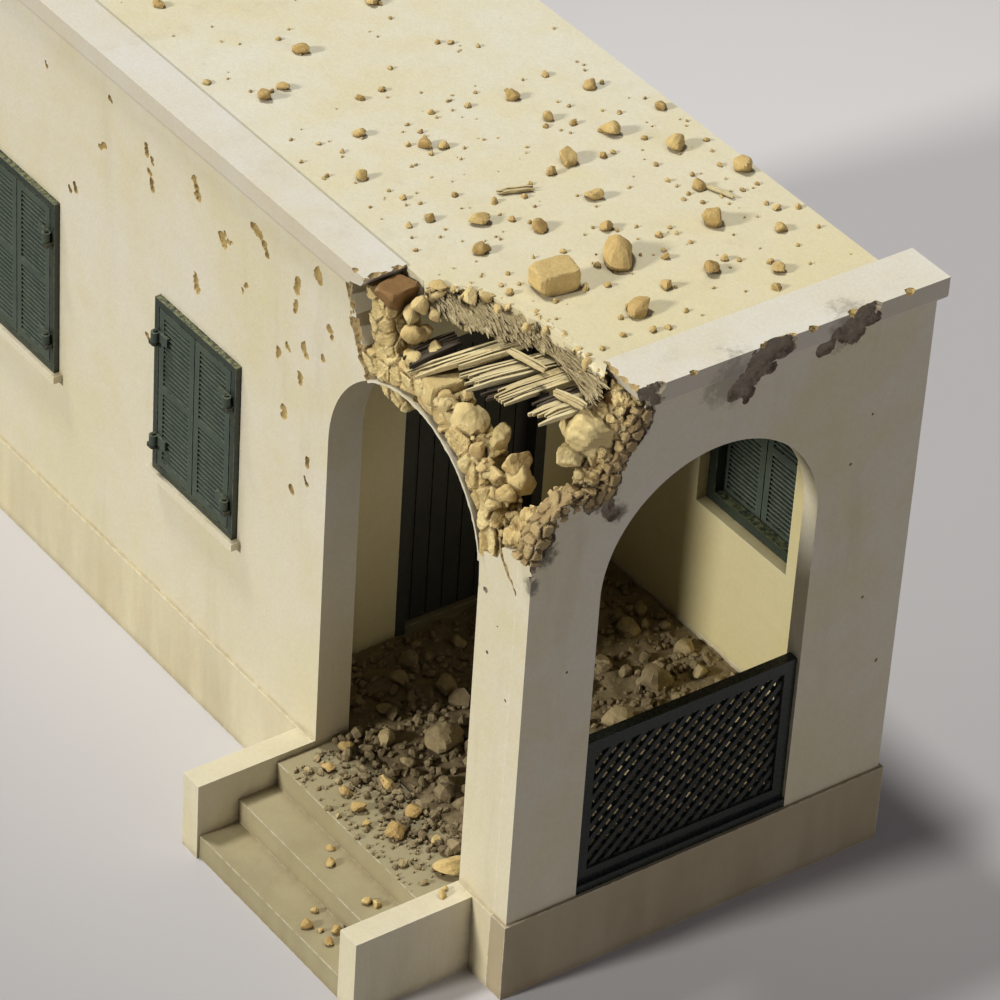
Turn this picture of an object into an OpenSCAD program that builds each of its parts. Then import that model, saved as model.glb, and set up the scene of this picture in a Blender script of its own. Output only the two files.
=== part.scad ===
// Ruined plaster house with an arched corner porch, a 1:35 tabletop terrain
// building. Origin at the centre of the walls' footprint on the ground, the
// arched end wall faces -Y, the long wall with the steps faces -X.

/* [Building] */
// Width of the end wall
body_w = 85; // [74:1:110]
// Length of the long wall
body_l = 208; // [200:1:260]
// Height of the copings above the ground
body_h = 126.7; // [122:0.1:150]

/* [Plinth] */
// Height of the plinth
plinth_h = 17; // [16:0.5:22]
// How far the plinth stands out of the walls
plinth_lip = 0.7; // [0.4:0.1:2]
// Thickness of the base board under the floors
base_t = 2; // [1.5:0.1:4]

/* [Walls] */
// Thickness of the long left wall
left_t = 7.4; // [6:0.1:9]
// Thickness of the arched end wall
front_t = 3.8; // [3.4:0.1:6]
// Thickness of the right wall
right_t = 4.3; // [4:0.1:7]
// Thickness of the blank rear wall
rear_t = 4.3; // [3:0.1:8]
// Thickness of the wall between porch and room
porch_wall_t = 4; // [3.4:0.1:6]
// Distance from the end wall's face to the porch wall's face
porch_depth = 80; // [74:0.5:84]

/* [Arches] */
// Width of the side arch over the steps
side_arch_w = 46.4; // [42:0.2:48]
// Width of the corner pier beside it
side_pier_w = 14.5; // [12:0.1:16]
// How far the side arch's springing lies below the copings
side_spring_drop = 41.3; // [39:0.1:46]
// Width of the front arch
front_arch_w = 47.4; // [42:0.2:50]
// Width of the front pier beside it
front_pier_w = 15.3; // [13:0.1:18]
// How far the front arch's springing lies below the copings
front_spring_drop = 42.9; // [41:0.1:48]

/* [Windows] */
// Width of a window frame
window_w = 27.3; // [24:0.1:30]
// Height of a window frame
window_h = 38.7; // [34:0.1:44]
// Height of the window's foot above the ground
window_z = 45.9; // [42:0.1:50]
// Distance from the end wall to the middle of the front window
front_window_y = 102.5; // [99:0.5:106]
// Distance between the two windows of the long wall
window_pitch = 62.7; // [56:0.1:70]
// Distance from the end wall to the middle of the porch window
porch_window_y = 40.4; // [34:0.1:46]
// Width of a frame member
frame_b = 1.4; // [1.2:0.1:2]
// How far a window frame stands out of the wall
frame_lip = 1.2; // [0.8:0.1:1.6]
// Thickness of a shutter leaf
leaf_t = 1.1; // [0.9:0.1:1.4]
// Spacing of the louvre slats
slat_pitch = 1; // [0.9:0.05:2]
// Height of the sill strip
sill_h = 1.6; // [1.2:0.1:2.4]
// How far the sill stands out of the wall
sill_lip = 2; // [1.6:0.1:3]

/* [Door] */
// Width of the door frame
door_w = 33; // [30:0.5:36]
// Height of the door frame above the floor
door_h = 66; // [60:0.5:72]
// Distance from the left wall's face to the door frame
door_x = 31; // [26:0.5:34]
// Thickness of a door leaf
door_leaf_t = 1.6; // [1.4:0.1:2]

/* [Hinges] */
// Radius of a hinge pin
pin_r = 0.4; // [0.35:0.05:0.5]
// Running clearance round the pin
pin_gap = 0.05; // [0.03:0.01:0.1]
// Height of a hinge knuckle
knuckle_h = 2; // [1.6:0.1:3]
// Gap along each side of a leaf
side_gap = 0.3; // [0.25:0.05:0.4]

/* [Steps] */
// Height of one step
riser = 5.2; // [4.8:0.1:5.4]
// Depth of the two lower treads
tread = 8.3; // [7:0.1:10]
// How far the landing reaches out of the wall
landing_l = 8.5; // [7:0.1:12]
// Thickness of a cheek wall
cheek_t = 5; // [4:0.1:6]
// How far a cheek wall reaches past the lowest step
cheek_nose = 0.6; // [0.4:0.1:2]

/* [Railing] */
// Height of the railing's top above the ground
rail_top_z = 51; // [46:0.5:56]
// Width of the rails and posts
rail_b = 2.6; // [2:0.1:3.2]
// Depth of the rails and posts
rail_t = 2.2; // [2:0.1:2.6]
// Spacing of the lattice strips along the rail
lattice_pitch = 3.3; // [2.8:0.1:5]
// Width of a lattice strip
strip_w = 1.1; // [0.9:0.1:1.4]
// Height of the threshold board under the railing
threshold_h = 1.8; // [1.4:0.1:2.4]

/* [Roof] */
// Height of the copings and of the roof's edge
coping_t = 4.8; // [4:0.1:6]
// How far the copings stand out of the walls
coping_lip = 1.3; // [1:0.1:2]
// Depth of the coping over the end wall
coping_d = 9.3; // [8.6:0.1:11]
// How far the roof deck lies below the copings
deck_drop = 0.4; // [0.2:0.1:1]
// Width of the sloping verge along the right side
verge_w = 5.9; // [4:0.1:8]
// Height of the sloping verge
verge_h = 6.9; // [5.2:0.1:9]
// Width of a ceiling board
board_w = 5; // [4:0.1:5.6]
// Thickness of a ceiling board
board_t = 1.6; // [1.2:0.1:2.4]
// Spacing of the ceiling boards
board_pitch = 6.6; // [6:0.1:9]

/* [Broken corner] */
// Reach of the hole along the end wall
hole_x = 18.2; // [16:0.2:20]
// Reach of the hole along the long wall
hole_y = 47; // [44:0.5:48]
// How far the broken corner pier ends below the copings
pier_drop = 29.7; // [28.7:0.1:34]
// Reach of the coping's broken foot past the hole
coping_tail = 9.3; // [8:0.1:12]
// Radial height of an arch stone
stone_h = 5.6; // [4.5:0.1:6.5]

/* [Hidden] */
plaster = [0.86, 0.82, 0.66];
stone_grey = [0.70, 0.67, 0.54];
ochre = [0.66, 0.55, 0.30];
dark_green = [0.07, 0.13, 0.11];
dry_wood = [0.62, 0.54, 0.36];
round_fn = 48;
past = 9;
left = -body_w / 2;
right = body_w / 2;
front = -body_l / 2;
rear = body_l / 2;
inner_left = left + left_t;
inner_right = right - right_t;
inner_front = front + front_t;
inner_rear = rear - rear_t;
wall_top = body_h - coping_t;
deck_top = body_h - deck_drop;
side_spring_z = body_h - side_spring_drop;
front_spring_z = body_h - front_spring_drop;
pier_top_z = body_h - pier_drop;
floor_z = 3 * riser;
floor_t = 2;
porch_wall_y = front + porch_depth;
side_open_y = front + side_pier_w;
side_mid_y = side_open_y + side_arch_w / 2;
front_open_x = left + front_pier_w;
front_mid_x = front_open_x + front_arch_w / 2;
frame_fit = 0.1;
bead = 0.9;
frame_in = 2;
pin_rise = 0.4;
run_gap = 0.1;
knuckle_r = 0.85;
lug_r = 0.7;
lug_h = 0.9;
strap_l = 3.4;
strap_t = 0.5;
stile = 1.5;
tilt = 42;
door_lip = 0.6;
hinge_share = 0.14;
deck_n = 2.8;

// ---- helpers ----------------------------------------------------------

// A flat outline drawn in (Y, Z), extruded along +X from x0.
module slab_yz(x0, t) {
    translate([x0, 0, 0]) rotate([90, 0, 90]) linear_extrude(t) children();
}

// A flat outline drawn in (X, Z), extruded along +Y from y0.
module slab_xz(y0, t) {
    translate([0, y0 + t, 0]) rotate([90, 0, 0]) linear_extrude(t) children();
}

module block(a, b) {
    translate(a) cube(b - a);
}

// Frames stand in a local frame: X to the viewer's right, Z up, the wall's
// face at y = 0 and its outside towards -Y.
module on_left_wall(y) {
    translate([left, y, 0]) rotate([0, 0, -90]) children();
}

module on_right_wall(y) {
    translate([right, y, 0]) rotate([0, 0, 90]) children();
}

module on_door_wall() {
    translate([left + door_x + door_w / 2, porch_wall_y + porch_wall_t, 0])
        rotate([0, 0, 180]) children();
}

// Arched opening: straight jambs from z0 to the springing, then a half round.
module arch_outline(mid, w, z0, spring) {
    translate([mid - w / 2, z0]) square([w, spring - z0]);
    translate([mid, spring]) circle(d = w, $fn = 96);
}

// A rough stone: a flat foot, a wide girdle and a smaller head, seven sides.
module rock(w, d, h, seed) {
    n = 7;
    wobble = rands(0.78, 1.12, 3 * n, seed);
    rings = [[0.8, 0], [1, 0.42], [0.62, 1]];
    corners = [for (k = [0:2]) for (i = [0:n - 1])
        let (a = 360 * (i + wobble[i] / 3) / n, r = rings[k][0] * wobble[k * n + i])
            [r * w / 2 * cos(a), r * d / 2 * sin(a), h * rings[k][1]]];
    foot = [[for (i = [0:n - 1]) i]];
    head = [[for (i = [n - 1:-1:0]) 2 * n + i]];
    sides = [for (k = [0:1]) for (i = [0:n - 1])
        let (a = k * n + i, b = k * n + (i + 1) % n) each [[a, a + n, b], [b, a + n, b + n]]];
    polyhedron(points = corners, faces = concat(foot, sides, head));
}

// A place across the building, in hundredths of its width from the left.
function across(share) = left + body_w * share / 100;

// Stones, each given as [place across, distance from the end wall, size].
module stones(list, z) {
    for (i = [0:len(list) - 1])
        translate([across(list[i][0]), front + list[i][1], z])
            rotate([0, 0, 67 * i]) rock(list[i][2], 0.8 * list[i][2], 0.65 * list[i][2], 11 + i);
}

// ---- base, floors and steps -------------------------------------------

module base_board() {
    color(stone_grey) block([inner_left, inner_front, 0], [inner_right, inner_rear, base_t]);
}

module plinth_front() {
    color(plaster) block([left - plinth_lip, front - plinth_lip, 0],
        [right + plinth_lip, inner_front, plinth_h]);
}

module plinth_rear() {
    color(plaster) block([left - plinth_lip, inner_rear, 0],
        [right + plinth_lip, rear + plinth_lip, plinth_h]);
}

module plinth_right() {
    color(plaster) block([inner_right, inner_front, 0],
        [right + plinth_lip, inner_rear, plinth_h]);
}

// The left plinth is lower where the landing passes over it.
module plinth_left() {
    color(plaster) difference() {
        block([left - plinth_lip, inner_front, 0], [inner_left, inner_rear, plinth_h]);
        block([left - plinth_lip - 1, side_open_y, 2 * riser],
            [inner_left + 1, side_open_y + side_arch_w, plinth_h + 1]);
    }
}

module porch_floor() {
    color(stone_grey) block([inner_left, inner_front, floor_z - floor_t],
        [inner_right, porch_wall_y + porch_wall_t / 2, floor_z]);
}

module room_floor() {
    color(stone_grey) block([inner_left, porch_wall_y + porch_wall_t / 2, floor_z - floor_t],
        [inner_right, inner_rear, floor_z]);
}

// One slab of the steps: its nose reach out of the wall, its foot and its end.
module step_slab(reach, z, end_x) {
    color(stone_grey) block([left - reach, side_open_y, z],
        [end_x, side_open_y + side_arch_w, z + riser]);
}

module lower_step() { step_slab(landing_l + 2 * tread, 0, left - plinth_lip); }

module middle_step() { step_slab(landing_l + tread, riser, left - plinth_lip); }

module landing() { step_slab(landing_l, 2 * riser, inner_left); }

module cheek(y) {
    color(plaster) block([left - landing_l - 2 * tread - cheek_nose, y, 0],
        [left - plinth_lip, y + cheek_t, plinth_h]);
}

module cheek_near() { cheek(side_open_y - cheek_t); }

module cheek_far() { cheek(side_open_y + side_arch_w); }

// ---- walls ------------------------------------------------------------

// Opening that a window frame fits, in the local frame of a wall.
module window_hole(mid) {
    translate([mid - window_w / 2 - frame_fit, window_z])
        square([window_w + 2 * frame_fit, window_h + frame_fit]);
}

// Where the plaster of the long wall ends: from the arch up to the coping.
wall_break_a = 62;
core_a = 70;
pier_break_a = 166;
side_r = side_arch_w / 2;
function on_side_arch(a, r) = [side_mid_y + r * cos(a), side_spring_z + r * sin(a)];
wall_break_foot = on_side_arch(wall_break_a, side_r);
wall_break_head = [front + hole_y + coping_tail, wall_top];
wall_break = [for (i = [0:6])
    wall_break_foot + (wall_break_head - wall_break_foot) * i / 6
        + [i == 0 ? 0 : 0.4 + 1.1 * (i % 2), 0]];

module long_wall() {
    color(plaster) slab_yz(left, left_t) difference() {
        translate([side_mid_y, plinth_h])
            square([inner_rear - side_mid_y, wall_top - plinth_h]);
        arch_outline(side_mid_y, side_arch_w, plinth_h - 1, side_spring_z);
        polygon(concat([[front - 1, side_spring_z]], wall_break,
            [[wall_break_head[0], wall_top + 1], [front - 1, wall_top + 1]]));
        window_hole(front + front_window_y);
        window_hole(front + front_window_y + window_pitch);
    }
}

module corner_pier() {
    heel = on_side_arch(pier_break_a, side_r);
    back = on_side_arch(pier_break_a, side_r + stone_h);
    color(plaster) slab_yz(left, left_t) polygon([
        [inner_front, plinth_h], [side_open_y, plinth_h], [side_open_y, side_spring_z],
        on_side_arch(173, side_r), heel, back, [back[0] - 1.2, pier_top_z - 1.6],
        [inner_front + 2.4, pier_top_z - 0.6], [inner_front, pier_top_z]
    ]);
}

// Broken edge of the end wall, from the corner up to the coping.
front_break = [
    [left - 1, pier_top_z + 2.4], [left, pier_top_z + 2.6], [left + 2.2, pier_top_z + 6.8],
    [left + 5.1, pier_top_z + 9.9], [left + 9.2, pier_top_z + 10.4],
    [left + hole_x - 4.6, pier_top_z + 7.7], [left + hole_x - 2.2, pier_top_z + 9],
    [left + hole_x - 1.8, pier_top_z + 11.8], [left + hole_x - 0.1, pier_top_z + 16.4],
    [left + hole_x + 2.7, wall_top - 4.3], [left + hole_x + 4.6, wall_top + 1],
    [left - 1, wall_top + 1]
];

module front_wall() {
    color(plaster) slab_xz(front, front_t) difference() {
        translate([left, plinth_h]) square([body_w, wall_top - plinth_h]);
        arch_outline(front_mid_x, front_arch_w, plinth_h - 1, front_spring_z);
        polygon(front_break);
    }
}

// What the sloping verge takes off the right wall and the deck.
module verge_cut() {
    slab_xz(front - past, body_l + 2 * past) polygon([
        [right - verge_w, deck_top], [right, deck_top - verge_h],
        [right + past, deck_top - verge_h], [right + past, deck_top + 1], [right - verge_w, deck_top + 1]
    ]);
}

module right_wall() {
    color(plaster) difference() {
        block([inner_right, inner_front, plinth_h], [right, inner_rear, wall_top]);
        verge_cut();
        slab_yz(inner_right - 1, right_t + 2) window_hole(front + porch_window_y);
    }
}

module rear_wall() {
    color(plaster) block([left, inner_rear, plinth_h], [right, rear, wall_top]);
}

module porch_wall() {
    color(plaster) slab_xz(porch_wall_y, porch_wall_t) difference() {
        translate([inner_left, floor_z]) square([inner_right - inner_left, wall_top - floor_z]);
        translate([left + door_x - frame_fit, floor_z - 1])
            square([door_w + 2 * frame_fit, door_h + frame_fit + 1]);
    }
}

// ---- bared masonry ----------------------------------------------------

// The ring of wedge stones that still spans the side arch.
module arch_stones() {
    n = 11;
    bed = 0.3;
    step = (pier_break_a - wall_break_a + bed) / n;
    tall = rands(0.8, 1.2, n, 5);
    inset = rands(0.1, 0.8, 2 * n, 8);
    color(ochre) for (i = [0:n - 1]) {
        a = wall_break_a + i * step;
        r = side_r + stone_h * tall[i];
        slab_yz(left + inset[i], left_t - inset[i] - inset[n + i]) polygon([
            on_side_arch(a, side_r), on_side_arch(a, r - 0.5), on_side_arch(a + step * 0.2, r),
            on_side_arch(a + step * 0.8, r + 0.2), on_side_arch(a + step - bed, r - 0.7),
            on_side_arch(a + step - bed, side_r), on_side_arch(a + step / 2, side_r)
        ]);
    }
}

// Rubble core of the long wall, bedded against its broken edge.
module wall_stones() {
    crown = on_side_arch(core_a, side_r + stone_h);
    course = (wall_top - crown[1] + 2) / 3;
    color(ochre) for (k = [0:2]) for (i = [0:2])
        translate([left + left_t / 2 + 0.5 * (i % 2) - 0.2, crown[0] + 1.6 * k + 3.9 * i - 1.4,
            crown[1] - 2 + course * k])
            rotate([0, 0, 5 * i]) rock(left_t - 0.7, 5.2, course, 20 + 3 * k + i);
}

// Rubble core of the corner, bedded on the pier behind the end wall.
module pier_stones() {
    color(ochre) {
        translate([left + 3.6, inner_front + 2.4, pier_top_z - 2]) rock(6.2, 5.2, 6.4, 31);
        translate([left + 3.8, inner_front + 5.6, pier_top_z - 3]) rock(6.4, 5.4, 7.2, 32);
        translate([left + 4.0, inner_front + 3.6, pier_top_z + 3.4]) rock(5.6, 6.2, 5.2, 33);
        translate([left + 10, inner_front + 1.4, pier_top_z + 2.6]) rock(6.4, 4.4, 6, 34);
    }
}

// Rubble core of the end wall, bedded along its broken edge, with one lump.
module front_stones() {
    x = left + hole_x;
    color(ochre) {
        translate([x - 3.4, inner_front, pier_top_z + 6.4]) rock(6.4, 5, 6.6, 41);
        translate([x - 2.6, inner_front + 0.4, pier_top_z + 11.8]) rock(8.2, 6.2, 6.8, 42);
        translate([x + 0.6, inner_front - 0.6, wall_top - 7.4]) rock(5.4, 5, 5.6, 43);
        translate([x + 2.4, inner_front - 0.4, wall_top - 3.8]) rock(5, 4.6, 3.8, 44);
    }
}

// ---- roof -------------------------------------------------------------

// Outline of the hole in the roof, seen from above: a rounded quarter with
// a ragged rim, reaching hole_x and hole_y from the corner of the walls.
module hole_outline() {
    rag = rands(-0.45, 0.45, 31, 17);
    polygon(concat([[left - past, front - past], [left + hole_x, front - past]],
        [for (i = [0:30]) let (a = 3 * i)
            [left + (hole_x + rag[i]) * pow(cos(a), 2 / deck_n),
                front + (hole_y + rag[30 - i]) * pow(sin(a), 2 / deck_n)]],
        [[left - past, front + hole_y]]));
}

module roof_deck() {
    color(plaster) difference() {
        block([inner_left, front + coping_d, wall_top], [right, rear - coping_d, deck_top]);
        translate([0, 0, wall_top - 1]) linear_extrude(coping_t + 2) hole_outline();
        verge_cut();
    }
}

// Section of a coping: flat top, its outer lower edge rounded by the lip.
module coping_section(depth) {
    r = coping_lip;
    translate([-coping_lip, r]) square([depth + coping_lip, coping_t - r]);
    translate([r - coping_lip, 0]) square([depth + coping_lip - r, coping_t]);
    translate([r - coping_lip, r]) circle(r = r, $fn = round_fn);
}

// The left coping's outer side faces -X; its front end is broken off.
module left_coping() {
    broken = front + hole_y;
    color(plaster) difference() {
        translate([left, rear - coping_d, wall_top]) rotate([90, 0, 0])
            linear_extrude(body_l - coping_d) coping_section(left_t);
        slab_yz(left - past, left_t + 2 * past) polygon([
            [front - past, wall_top - 1], [broken + coping_tail, wall_top - 1],
            [broken + coping_tail - 1.7, wall_top + 1.8],
            [broken + 4.4, wall_top + 2.6], [broken + 3.4, wall_top + 4.1],
            [broken + 2.1, body_h + 1], [front - past, body_h + 1]
        ]);
    }
}

module end_coping() {
    rotate([90, 0, 90]) linear_extrude(body_w + 2 * coping_lip) coping_section(coping_d);
}

module front_coping() {
    x = left + hole_x;
    color(plaster) difference() {
        translate([left - coping_lip, front, wall_top]) end_coping();
        slab_xz(front - past, coping_d + 2 * past) polygon([
            [left - past, wall_top - 1], [x + 4.8, wall_top - 1], [x + 3.9, wall_top + 1.4],
            [x + 1.7, wall_top + 2.2], [x + 1.2, wall_top + 3.7], [x, body_h + 1],
            [left - past, body_h + 1]
        ]);
    }
}

module rear_coping() {
    color(plaster) translate([right + coping_lip, rear, wall_top])
        rotate([0, 0, 180]) end_coping();
}

// Boards over the porch, parallel to the end wall, glued under the deck.
// Inside the hole their left ends are snapped off in the open.
snapped = [4.8, 3.4, 2.6, 3.6, 2.8, 5.2];
module ceiling_boards() {
    first = inner_front + 1.6;
    count = floor((porch_wall_y - first - board_w) / board_pitch) + 1;
    color(dry_wood) for (i = [0:count - 1]) {
        y = first + i * board_pitch;
        in_hole = y < front + hole_y - 8;
        x = in_hole ? left + snapped[i % len(snapped)] : inner_left;
        z = wall_top - board_t;
        block([x, y, z], [inner_right, y + board_w, wall_top]);
    }
}

// Thin split laths that lie on the boards in the hole, one across them.
module split_laths() {
    color(dry_wood) for (i = [0:4]) {
        y = inner_front + 2 + board_pitch * i;
        block([left + 5.4 + 1.1 * (i % 3), y, wall_top],
            [left + hole_x - 3.6 + 0.5 * (i % 2), y + 1.2, wall_top + 0.8]);
    }
    color(dry_wood) translate([left + 11, inner_front + 12.6, wall_top + 0.8])
        rotate([0, 0, 84]) cube([9, 1.3, 0.7]);
}

module loose_brick() {
    size = [6.4, 4.4, 3.6];
    color(ochre) translate([left + 3.6, front + hole_y + 0.4, wall_top])
        rotate([0, 0, 12]) translate([-size[0] / 2, -size[1] / 2, 0]) cube(size);
}

// ---- shutters, door and their hinges ----------------------------------

function hinge_z(h) = [hinge_share * h, (1 - hinge_share) * h - knuckle_h];
function leaf_w(w) = (w - 2 * frame_b - 3 * side_gap) / 2;
function leaf_h(h, foot) = h - (foot ? 2 : 1) * frame_b - 2 * side_gap;
function axis_x(w) = w / 2 - frame_b - side_gap / 2;

// Rebated frame: a pocket in front for the leaves, a bead behind them.
module frame_ring(w, h, lip, depth, leaf, foot) {
    low = foot ? frame_b : -1;
    low_bead = foot ? frame_b + bead : -1;
    difference() {
        block([-w / 2, -lip, 0], [w / 2, depth, h]);
        block([-w / 2 + frame_b, -lip - 1, low],
            [w / 2 - frame_b, leaf - lip + 0.2, h - frame_b]);
        block([-w / 2 + frame_b + bead, -lip - 1, low_bead],
            [w / 2 - frame_b - bead, depth + 1, h - frame_b - bead]);
    }
}

// A leaf hung on the axis at the origin: children are its flat panel, drawn
// from x = 0 to its width; knuckles and straps are the same on every leaf.
module hung_leaf(w, h) {
    difference() {
        union() {
            translate([-side_gap / 2 - w, knuckle_r, 0]) children();
            for (z = hinge_z(h)) translate([0, 0, z]) {
                cylinder(r = knuckle_r, h = knuckle_h, $fn = round_fn);
                translate([-strap_l, knuckle_r - strap_t, 0])
                    cube([strap_l, strap_t + 0.2, knuckle_h]);
            }
        }
        for (z = hinge_z(h)) translate([0, 0, z - 1])
            cylinder(r = pin_r + pin_gap, h = knuckle_h + 2, $fn = round_fn);
    }
}

// Pintles: a lug on the frame's face below each knuckle, its pin upright.
module pintles(h) {
    for (z = hinge_z(h)) translate([0, 0, z - run_gap - lug_h]) {
        cylinder(r = lug_r, h = lug_h, $fn = round_fn);
        translate([side_gap / 2, -lug_r, 0]) cube([1, lug_r + knuckle_r, lug_h]);
        cylinder(r = pin_r, h = lug_h + run_gap + knuckle_h + pin_rise, $fn = round_fn);
    }
}

// Both sides of a pair: the right one as drawn, the left one mirrored.
module right_side(w, z, lip) {
    translate([axis_x(w), -lip - knuckle_r, z]) children();
}

module left_side(w, z, lip) {
    mirror([1, 0, 0]) right_side(w, z, lip) children();
}

// Louvred panel: two stiles, three rails and two fields of tilted slats.
module louvre_panel(w, h, t) {
    field_h = (h - 3 * stile) / 2;
    count = floor(field_h / slat_pitch);
    difference() {
        cube([w, t, h]);
        for (k = [0:1]) translate([stile, -1, stile + k * (field_h + stile)])
            cube([w - 2 * stile, t + 2, field_h]);
    }
    for (k = [0:1]) for (i = [0:count - 1])
        translate([stile - 0.1, t / 2, stile + k * (field_h + stile) + (i + 0.5) * field_h / count])
            rotate([tilt, 0, 0]) translate([0, -t * 0.55, -0.15])
                cube([w - 2 * stile + 0.2, t * 1.1, 0.3]);
}

// Planked panel: one slab with a groove between its boards.
module plank_panel(w, h, t) {
    planks = 4;
    difference() {
        cube([w, t, h]);
        for (i = [1:planks - 1]) translate([i * w / planks - 0.15, t - 0.3, -1])
            cube([0.3, 1, h + 2]);
    }
}

module window_frame() {
    color(dark_green) translate([0, 0, window_z])
        frame_ring(window_w, window_h, frame_lip, frame_in, leaf_t, true);
}

module window_sill() {
    color(plaster) block([-window_w / 2 - 1.2, -sill_lip, window_z - sill_h],
        [window_w / 2 + 1.2, 0, window_z]);
}

module shutter() {
    w = leaf_w(window_w);
    h = leaf_h(window_h, true);
    color(dark_green) hung_leaf(w, h) louvre_panel(w, h, leaf_t);
}

shutter_z = window_z + frame_b + side_gap;
module shutter_right() { right_side(window_w, shutter_z, frame_lip) shutter(); }
module shutter_left() { left_side(window_w, shutter_z, frame_lip) shutter(); }

module window_pintles() {
    h = leaf_h(window_h, true);
    color(dark_green) {
        right_side(window_w, shutter_z, frame_lip) pintles(h);
        left_side(window_w, shutter_z, frame_lip) pintles(h);
    }
}

module door_frame() {
    color(dark_green) translate([0, 0, floor_z])
        frame_ring(door_w, door_h, door_lip, porch_wall_t, door_leaf_t, false);
}

module door_leaf() {
    w = leaf_w(door_w);
    h = leaf_h(door_h, false);
    color(dark_green) hung_leaf(w, h) plank_panel(w, h, door_leaf_t);
}

module door_right() { right_side(door_w, floor_z + side_gap, door_lip) door_leaf(); }
module door_left() { left_side(door_w, floor_z + side_gap, door_lip) door_leaf(); }

module door_pintles() {
    h = leaf_h(door_h, false);
    color(dark_green) {
        right_side(door_w, floor_z + side_gap, door_lip) pintles(h);
        left_side(door_w, floor_z + side_gap, door_lip) pintles(h);
    }
}

module at_front_window() { on_left_wall(front + front_window_y) children(); }
module at_rear_window() { on_left_wall(front + front_window_y + window_pitch) children(); }
module at_porch_window() { on_right_wall(front + porch_window_y) children(); }

// ---- railing in the front arch ----------------------------------------

rail_y = front + 0.8;
rail_foot = plinth_h + threshold_h;
lattice_w = front_arch_w - 2 * rail_b;
lattice_h = rail_top_z - rail_foot - 2 * rail_b;
strip_t = 0.6;

module threshold() {
    color(dark_green) block([front_open_x, front, plinth_h],
        [front_open_x + front_arch_w, inner_front, rail_foot]);
}

module rail_frame() {
    color(dark_green) slab_xz(rail_y, rail_t) difference() {
        translate([front_open_x, rail_foot]) square([front_arch_w, rail_top_z - rail_foot]);
        translate([front_open_x + rail_b, rail_foot + rail_b]) square([lattice_w, lattice_h]);
    }
}

// One layer of slanting strips, trimmed to the opening of the rail frame.
module lattice_layer(y, slant) {
    count = ceil((lattice_w + lattice_h) / lattice_pitch);
    color(dark_green) slab_xz(y, strip_t) intersection() {
        translate([front_open_x + rail_b, rail_foot + rail_b]) square([lattice_w, lattice_h]);
        for (i = [-count:count])
            translate([front_mid_x + i * lattice_pitch, rail_foot + rail_b + lattice_h / 2])
                rotate(slant) square([3 * lattice_h, strip_w], center = true);
    }
}

module lattice_outer() { lattice_layer(rail_y + 0.4, 45); }
module lattice_inner() { lattice_layer(rail_y + 0.4 + strip_t, -45); }

// ---- loose rubble -----------------------------------------------------

roof_stones = [
    [19, 108, 3], [24.5, 109, 2.2], [28, 89, 2.2], [37.5, 80, 2.6], [40.5, 78, 2.2], [19, 77, 2.2],
    [22.5, 60, 2.2], [30.5, 55, 3.7], [40, 48, 3.3], [24.5, 47, 3], [64.5, 85, 2.6], [66, 76, 2.2],
    [81, 81, 2.6], [74, 67, 3.3], [60, 63, 4.4], [56.5, 51, 3.3], [82.5, 57, 3.7], [89.5, 69, 2.6],
    [89.5, 45, 3.7], [72, 34, 4.4], [61, 22, 3.3], [49.5, 22, 2.6], [47, 33, 7], [39, 18, 4.8],
    [73, 16, 3], [82.5, 26, 2.4], [52, 42, 2.4], [77.5, 44, 2.6], [35.5, 118, 2.8], [61, 126, 3.2],
    [77.5, 138, 2.6], [28, 146, 3.4], [52, 158, 2.4], [70.5, 172, 3.6], [35.5, 182, 2.6]
];

module roof_rubble() {
    color(ochre) {
        stones(roof_stones, deck_top);
        translate([across(26.5), front + 29.4, deck_top]) rotate([0, 0, -8]) cube([7.4, 5, 4]);
        translate([across(40), front + 60.5, deck_top]) rotate([0, 0, -20]) cube([6.4, 1.3, 0.8]);
    }
}

porch_stones = [
    [23.5, 49, 8], [13.5, 47, 3], [14, 55, 4.4], [16.5, 38, 3.3], [15.5, 32, 3.2], [82.5, 58, 4.4],
    [76.5, 42, 6.4], [60, 36, 6], [89.5, 48, 4.2], [87, 40, 3.4], [84.5, 33, 3], [89.5, 62, 3.4],
    [70.5, 52, 4], [52, 46, 4.6], [42.5, 56, 4], [35.5, 62, 5], [28, 68, 3.6], [54, 64, 3.4],
    [66, 66, 3.8], [44.5, 36, 5], [35.5, 42, 3.6], [33, 28, 4.4], [52, 24, 4.6], [66, 22, 5],
    [77.5, 20, 3.6], [42.5, 16, 3.8], [59, 12, 3.4], [73, 10, 3], [28, 18, 3.6], [19, 24, 3.2],
    [26, 34, 2.8], [61, 48, 3], [77.5, 70, 3], [47, 72, 3.2], [19, 62, 3], [84.5, 24, 3.4]
];

module porch_rubble() { color(ochre) stones(porch_stones, floor_z); }

module step_rubble() {
    upper = left - landing_l - tread / 2;
    lower = upper - tread;
    color(ochre) {
        stones([[-2, 54, 2.6], [-3.5, 46.5, 2.6], [-4, 41.5, 2.8], [-2, 32, 4.4],
            [1, 18.6, 5.6], [5, 57, 3], [5.5, 44, 3], [5, 35, 3.2], [4, 26, 2.4],
            [-5.5, 37, 1.8]], floor_z);
        translate([upper, front + 40, 2 * riser]) rock(2.4, 2, 1.5, 61);
        translate([upper + 1.6, front + 24, 2 * riser]) rock(2.2, 2, 1.4, 62);
        translate([lower + 1.4, front + 32, riser]) rock(2.2, 1.8, 1.4, 63);
        translate([lower, front + 27, riser]) rock(3, 2.2, 1.5, 64);
        translate([lower + 1.2, front + 23.6, riser]) rock(2, 1.8, 1.3, 65);
    }
}

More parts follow.
